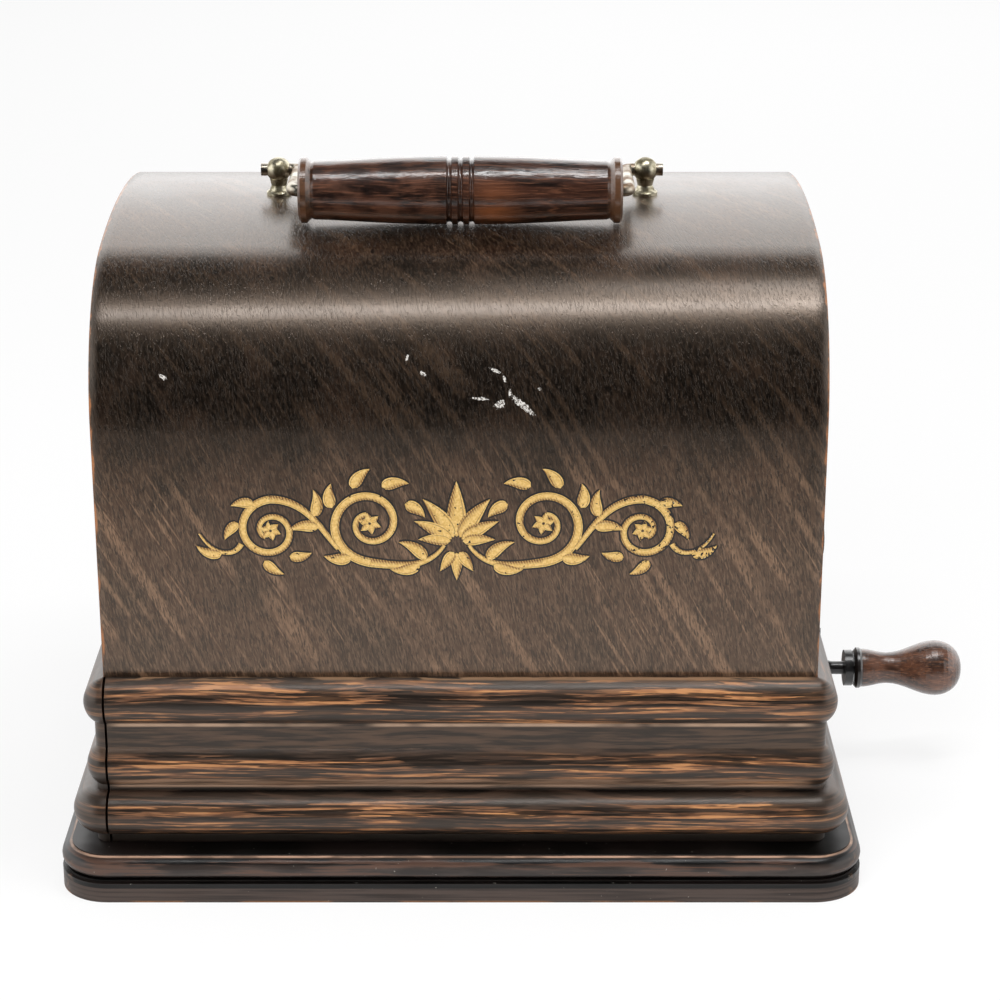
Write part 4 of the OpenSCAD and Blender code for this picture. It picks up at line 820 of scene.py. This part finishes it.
# Metals: clean colour, tarnished colour, size of the clouds, least and greatest roughness, brushing
METALS = {
    "dark_steel": (rgb(118, 114, 108), rgb(66, 56, 48), 3.0, 0.34, 0.6),
    "bright_steel": (rgb(186, 186, 188), rgb(128, 122, 114), 11.0, 0.2, 0.42, 0.6),
    "spring_steel": (rgb(106, 116, 142), rgb(74, 70, 70), 6.0, 0.26, 0.45, 0.3),
    "bail_steel": (rgb(186, 180, 166), rgb(124, 96, 70), 7.0, 0.3, 0.55),
    "aged_nickel": (rgb(196, 189, 166), rgb(120, 112, 88), 2.6, 0.32, 0.55),
    "nickel_plate": (rgb(198, 195, 186), rgb(150, 143, 128), 16.0, 0.12, 0.3, 0.25),
    "brass": (rgb(204, 164, 88), rgb(140, 104, 52), 12.0, 0.22, 0.45, 0.2),
}
for metal_name, settings in METALS.items():
    FINISHES[metal_name] = metal(metal_name + "_finish", *settings)

OWN_FINISH = {
    "feed_screw": screw_thread(),
}


def dress_cad_nodes():
    """Each CAD node gets the finish of its slot, or its own."""
    for name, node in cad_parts.items():
        for index, material in enumerate(node.data.materials):
            plain = material.name.split(".")[0]
            finish = OWN_FINISH.get(name) or FINISHES.get(plain)
            if finish is None:
                raise ValueError(f"no finish for {name}, which has the material {material.name}")
            node.data.materials[index] = finish


dress_cad_nodes()


# Gold scroll ornament on the lid's front, in millimetres
PRINT_CENTRE = (-1.0, 127.0)
PRINT_THICKNESS = 0.35
LAYER_STEP = 0.0008
THINNEST = 0.02


def bezier(p0, p1, p2, p3, steps):
    """Points of a cubic curve."""
    points = []
    for i in range(steps + 1):
        t = i / steps
        a, b, c, d = (1 - t) ** 3, 3 * t * (1 - t) ** 2, 3 * t * t * (1 - t), t ** 3
        points.append(tuple(a * w + b * x + c * y + d * z for w, x, y, z in zip(p0, p1, p2, p3)))
    return points


def spiral(centre, r0, r1, start_deg, turns, turn_way, steps):
    """Points of a spiral from radius r0 to r1, left round for a turn_way of 1, right for -1."""
    points = []
    for i in range(steps + 1):
        t = i / steps
        radius = r0 + (r1 - r0) * t ** 0.85
        points.append(round_point(centre, radius, start_deg + turn_way * 360.0 * turns * t))
    return points


def round_point(centre, radius, degrees):
    """The point at an angle on a circle round a centre."""
    angle = math.radians(degrees)
    return (centre[0] + radius * math.cos(angle), centre[1] + radius * math.sin(angle))


def leaf_line(base, heading_deg, length, bend_deg, steps=12):
    """Centre line of a leaf that leaves base at a heading and bends as it goes."""
    x, z = base
    points = [(x, z)]
    for i in range(steps):
        angle = math.radians(heading_deg + bend_deg * (i + 0.5) / steps)
        x += length / steps * math.cos(angle)
        z += length / steps * math.sin(angle)
        points.append((x, z))
    return points


def leaf_width(t):
    """Share of a leaf's greatest half width at the share t of its length."""
    return math.sin(math.pi * min(1.0, t ** 0.62)) ** 0.9 if 0 < t < 1 else 0.0


def design():
    """Right half of the ornament and its middle: bands, each a line and its half width along it."""
    right = []

    def stem(line, w0, w1):
        right.append((line, lambda t: w0 + (w1 - w0) * t))

    def leaf(base, heading, length, width, bend):
        right.append((leaf_line(base, heading, length, bend), lambda t: width * leaf_width(t)))

    # Stems that join two spirals
    first, second = (28.0, 1.5), (60.0, -1.0)
    stem(bezier((4.0, -6.0), (9.0, -14.0), (18.0, -13.5), (28.0, -12.0), 20), 0.5, 1.5)
    stem(spiral(first, 13.5, 3.2, -90, 1.45, 1, 72), 1.5, 0.8)
    stem(bezier((38.3, -7.2), (43.5, -1.0), (48.0, 9.8), (60.0, 9.8), 20), 0.7, 1.3)
    stem(spiral(second, 10.8, 2.8, 90, 1.4, -1, 60), 1.3, 0.7)
    stem(bezier((69.6, -5.6), (72.0, -10.5), (79.0, -9.5), (83.0, -2.0), 16), 0.9, 0.3)

    # Leaves round the first spiral, round the second, and along the stems
    for angle, length in [(-62, 9), (24, 8.5), (66, 9), (108, 9), (150, 8)]:
        leaf(round_point(first, 13.2, angle), angle + 42, length, 2.0, 46)
    for angle, length in [(60, 7.5), (14, 7.5), (-78, 8), (-124, 7.5)]:
        leaf(round_point(second, 10.6, angle), angle - 42, length, 1.7, -46)
    leaf((76.0, -9.0), -10, 9.0, 1.7, 60)
    leaf((44.5, 0.0), 20, 10.0, 1.9, -50)
    leaf((46.0, 4.0), 120, 9.5, 1.9, -60)
    leaf((12.0, -12.6), -35, 10.0, 2.0, 50)
    leaf((10.0, -11.0), 62, 11.0, 2.0, -54)

    # A flower of six petals in each spiral
    for centre, petal in [(first, 3.4), (second, 3.0)]:
        for angle in range(15, 375, 60):
            leaf(round_point(centre, 0.4, angle), angle, petal, 1.15, 10)

    # Fan of seven leaves in the middle, and three small leaves below it
    middle = []
    fan = [(90, 19, 3.1), (62, 16.5, 2.7), (118, 16.5, 2.7), (36, 13.5, 2.3), (144, 13.5, 2.3),
           (12, 10.5, 1.9), (168, 10.5, 1.9)]
    for heading, length, width in fan:
        bend = 0 if heading == 90 else (18 if heading > 90 else -18)
        line = leaf_line(round_point((0.0, -5.0), 2.0, heading), heading, length, bend)
        middle.append((line, lambda t, w=width: w * leaf_width(t)))
    for heading, length in [(270, 9.5), (236, 8.0), (304, 8.0)]:
        line = leaf_line(round_point((0.0, -7.0), 1.6, heading), heading, length, 0)
        middle.append((line, lambda t: 1.8 * leaf_width(t)))
    return right, middle


def strip(mesh, layers, line, half_width, depth_mm, mirrored, grow):
    """Lays one tapering band along a line, depth_mm in front of the lid's front face."""
    side_layer, way_layer = layers
    shares = (-1.0, -0.72, 0.0, 0.72, 1.0)
    flip = -1.0 if mirrored else 1.0
    rows = []
    count = len(line)
    for i, (px, pz) in enumerate(line):
        ax, az = line[max(0, i - 1)]
        bx, bz = line[min(count - 1, i + 1)]
        size = math.hypot(bx - ax, bz - az) or 1.0
        nx, nz = -(bz - az) / size, (bx - ax) / size
        width = max(THINNEST, half_width(i / (count - 1))) + grow
        row = []
        for share in shares:
            x = flip * (px + nx * width * share) + PRINT_CENTRE[0]
            z = pz + nz * width * share + PRINT_CENTRE[1]
            vert = mesh.verts.new((x * MM, (-LID_Y - depth_mm) * MM, z * MM))
            vert[side_layer] = share
            vert[way_layer] = i / (count - 1)
            row.append(vert)
        rows.append(row)
    for low, high in zip(rows, rows[1:]):
        for k in range(len(shares) - 1):
            corners = [low[k], low[k + 1], high[k + 1], high[k]]
            mesh.faces.new(corners if mirrored else corners[::-1])


def ornament(name, depth_mm, grow, material):
    """One layer of the whole ornament, with every band widened by grow on both sides."""
    mesh = bmesh.new()
    side_layer = mesh.verts.layers.float.new("side")
    way_layer = mesh.verts.layers.float.new("way")
    right, middle = design()
    bands = [(b, False) for b in right] + [(b, True) for b in right] + [(b, False) for b in middle]
    layers = side_layer, way_layer
    for index, ((line, half_width), mirrored) in enumerate(bands):
        strip(mesh, layers, line, half_width, depth_mm + LAYER_STEP * index, mirrored, grow)
    data = bpy.data.meshes.new(name)
    mesh.to_mesh(data)
    mesh.free()
    data.materials.append(material)
    piece = bpy.data.objects.new(name, data)
    scene.collection.objects.link(piece)
    thick = piece.modifiers.new("thickness", "SOLIDIFY")
    thick.thickness = PRINT_THICKNESS * MM
    thick.offset = -1.0
    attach(piece, "lid")


ornament("scroll_shadow", depth_mm=0.05, grow=0.6, material=print_shadow())
ornament("scroll_gold", depth_mm=0.17, grow=0.0, material=gold_print())
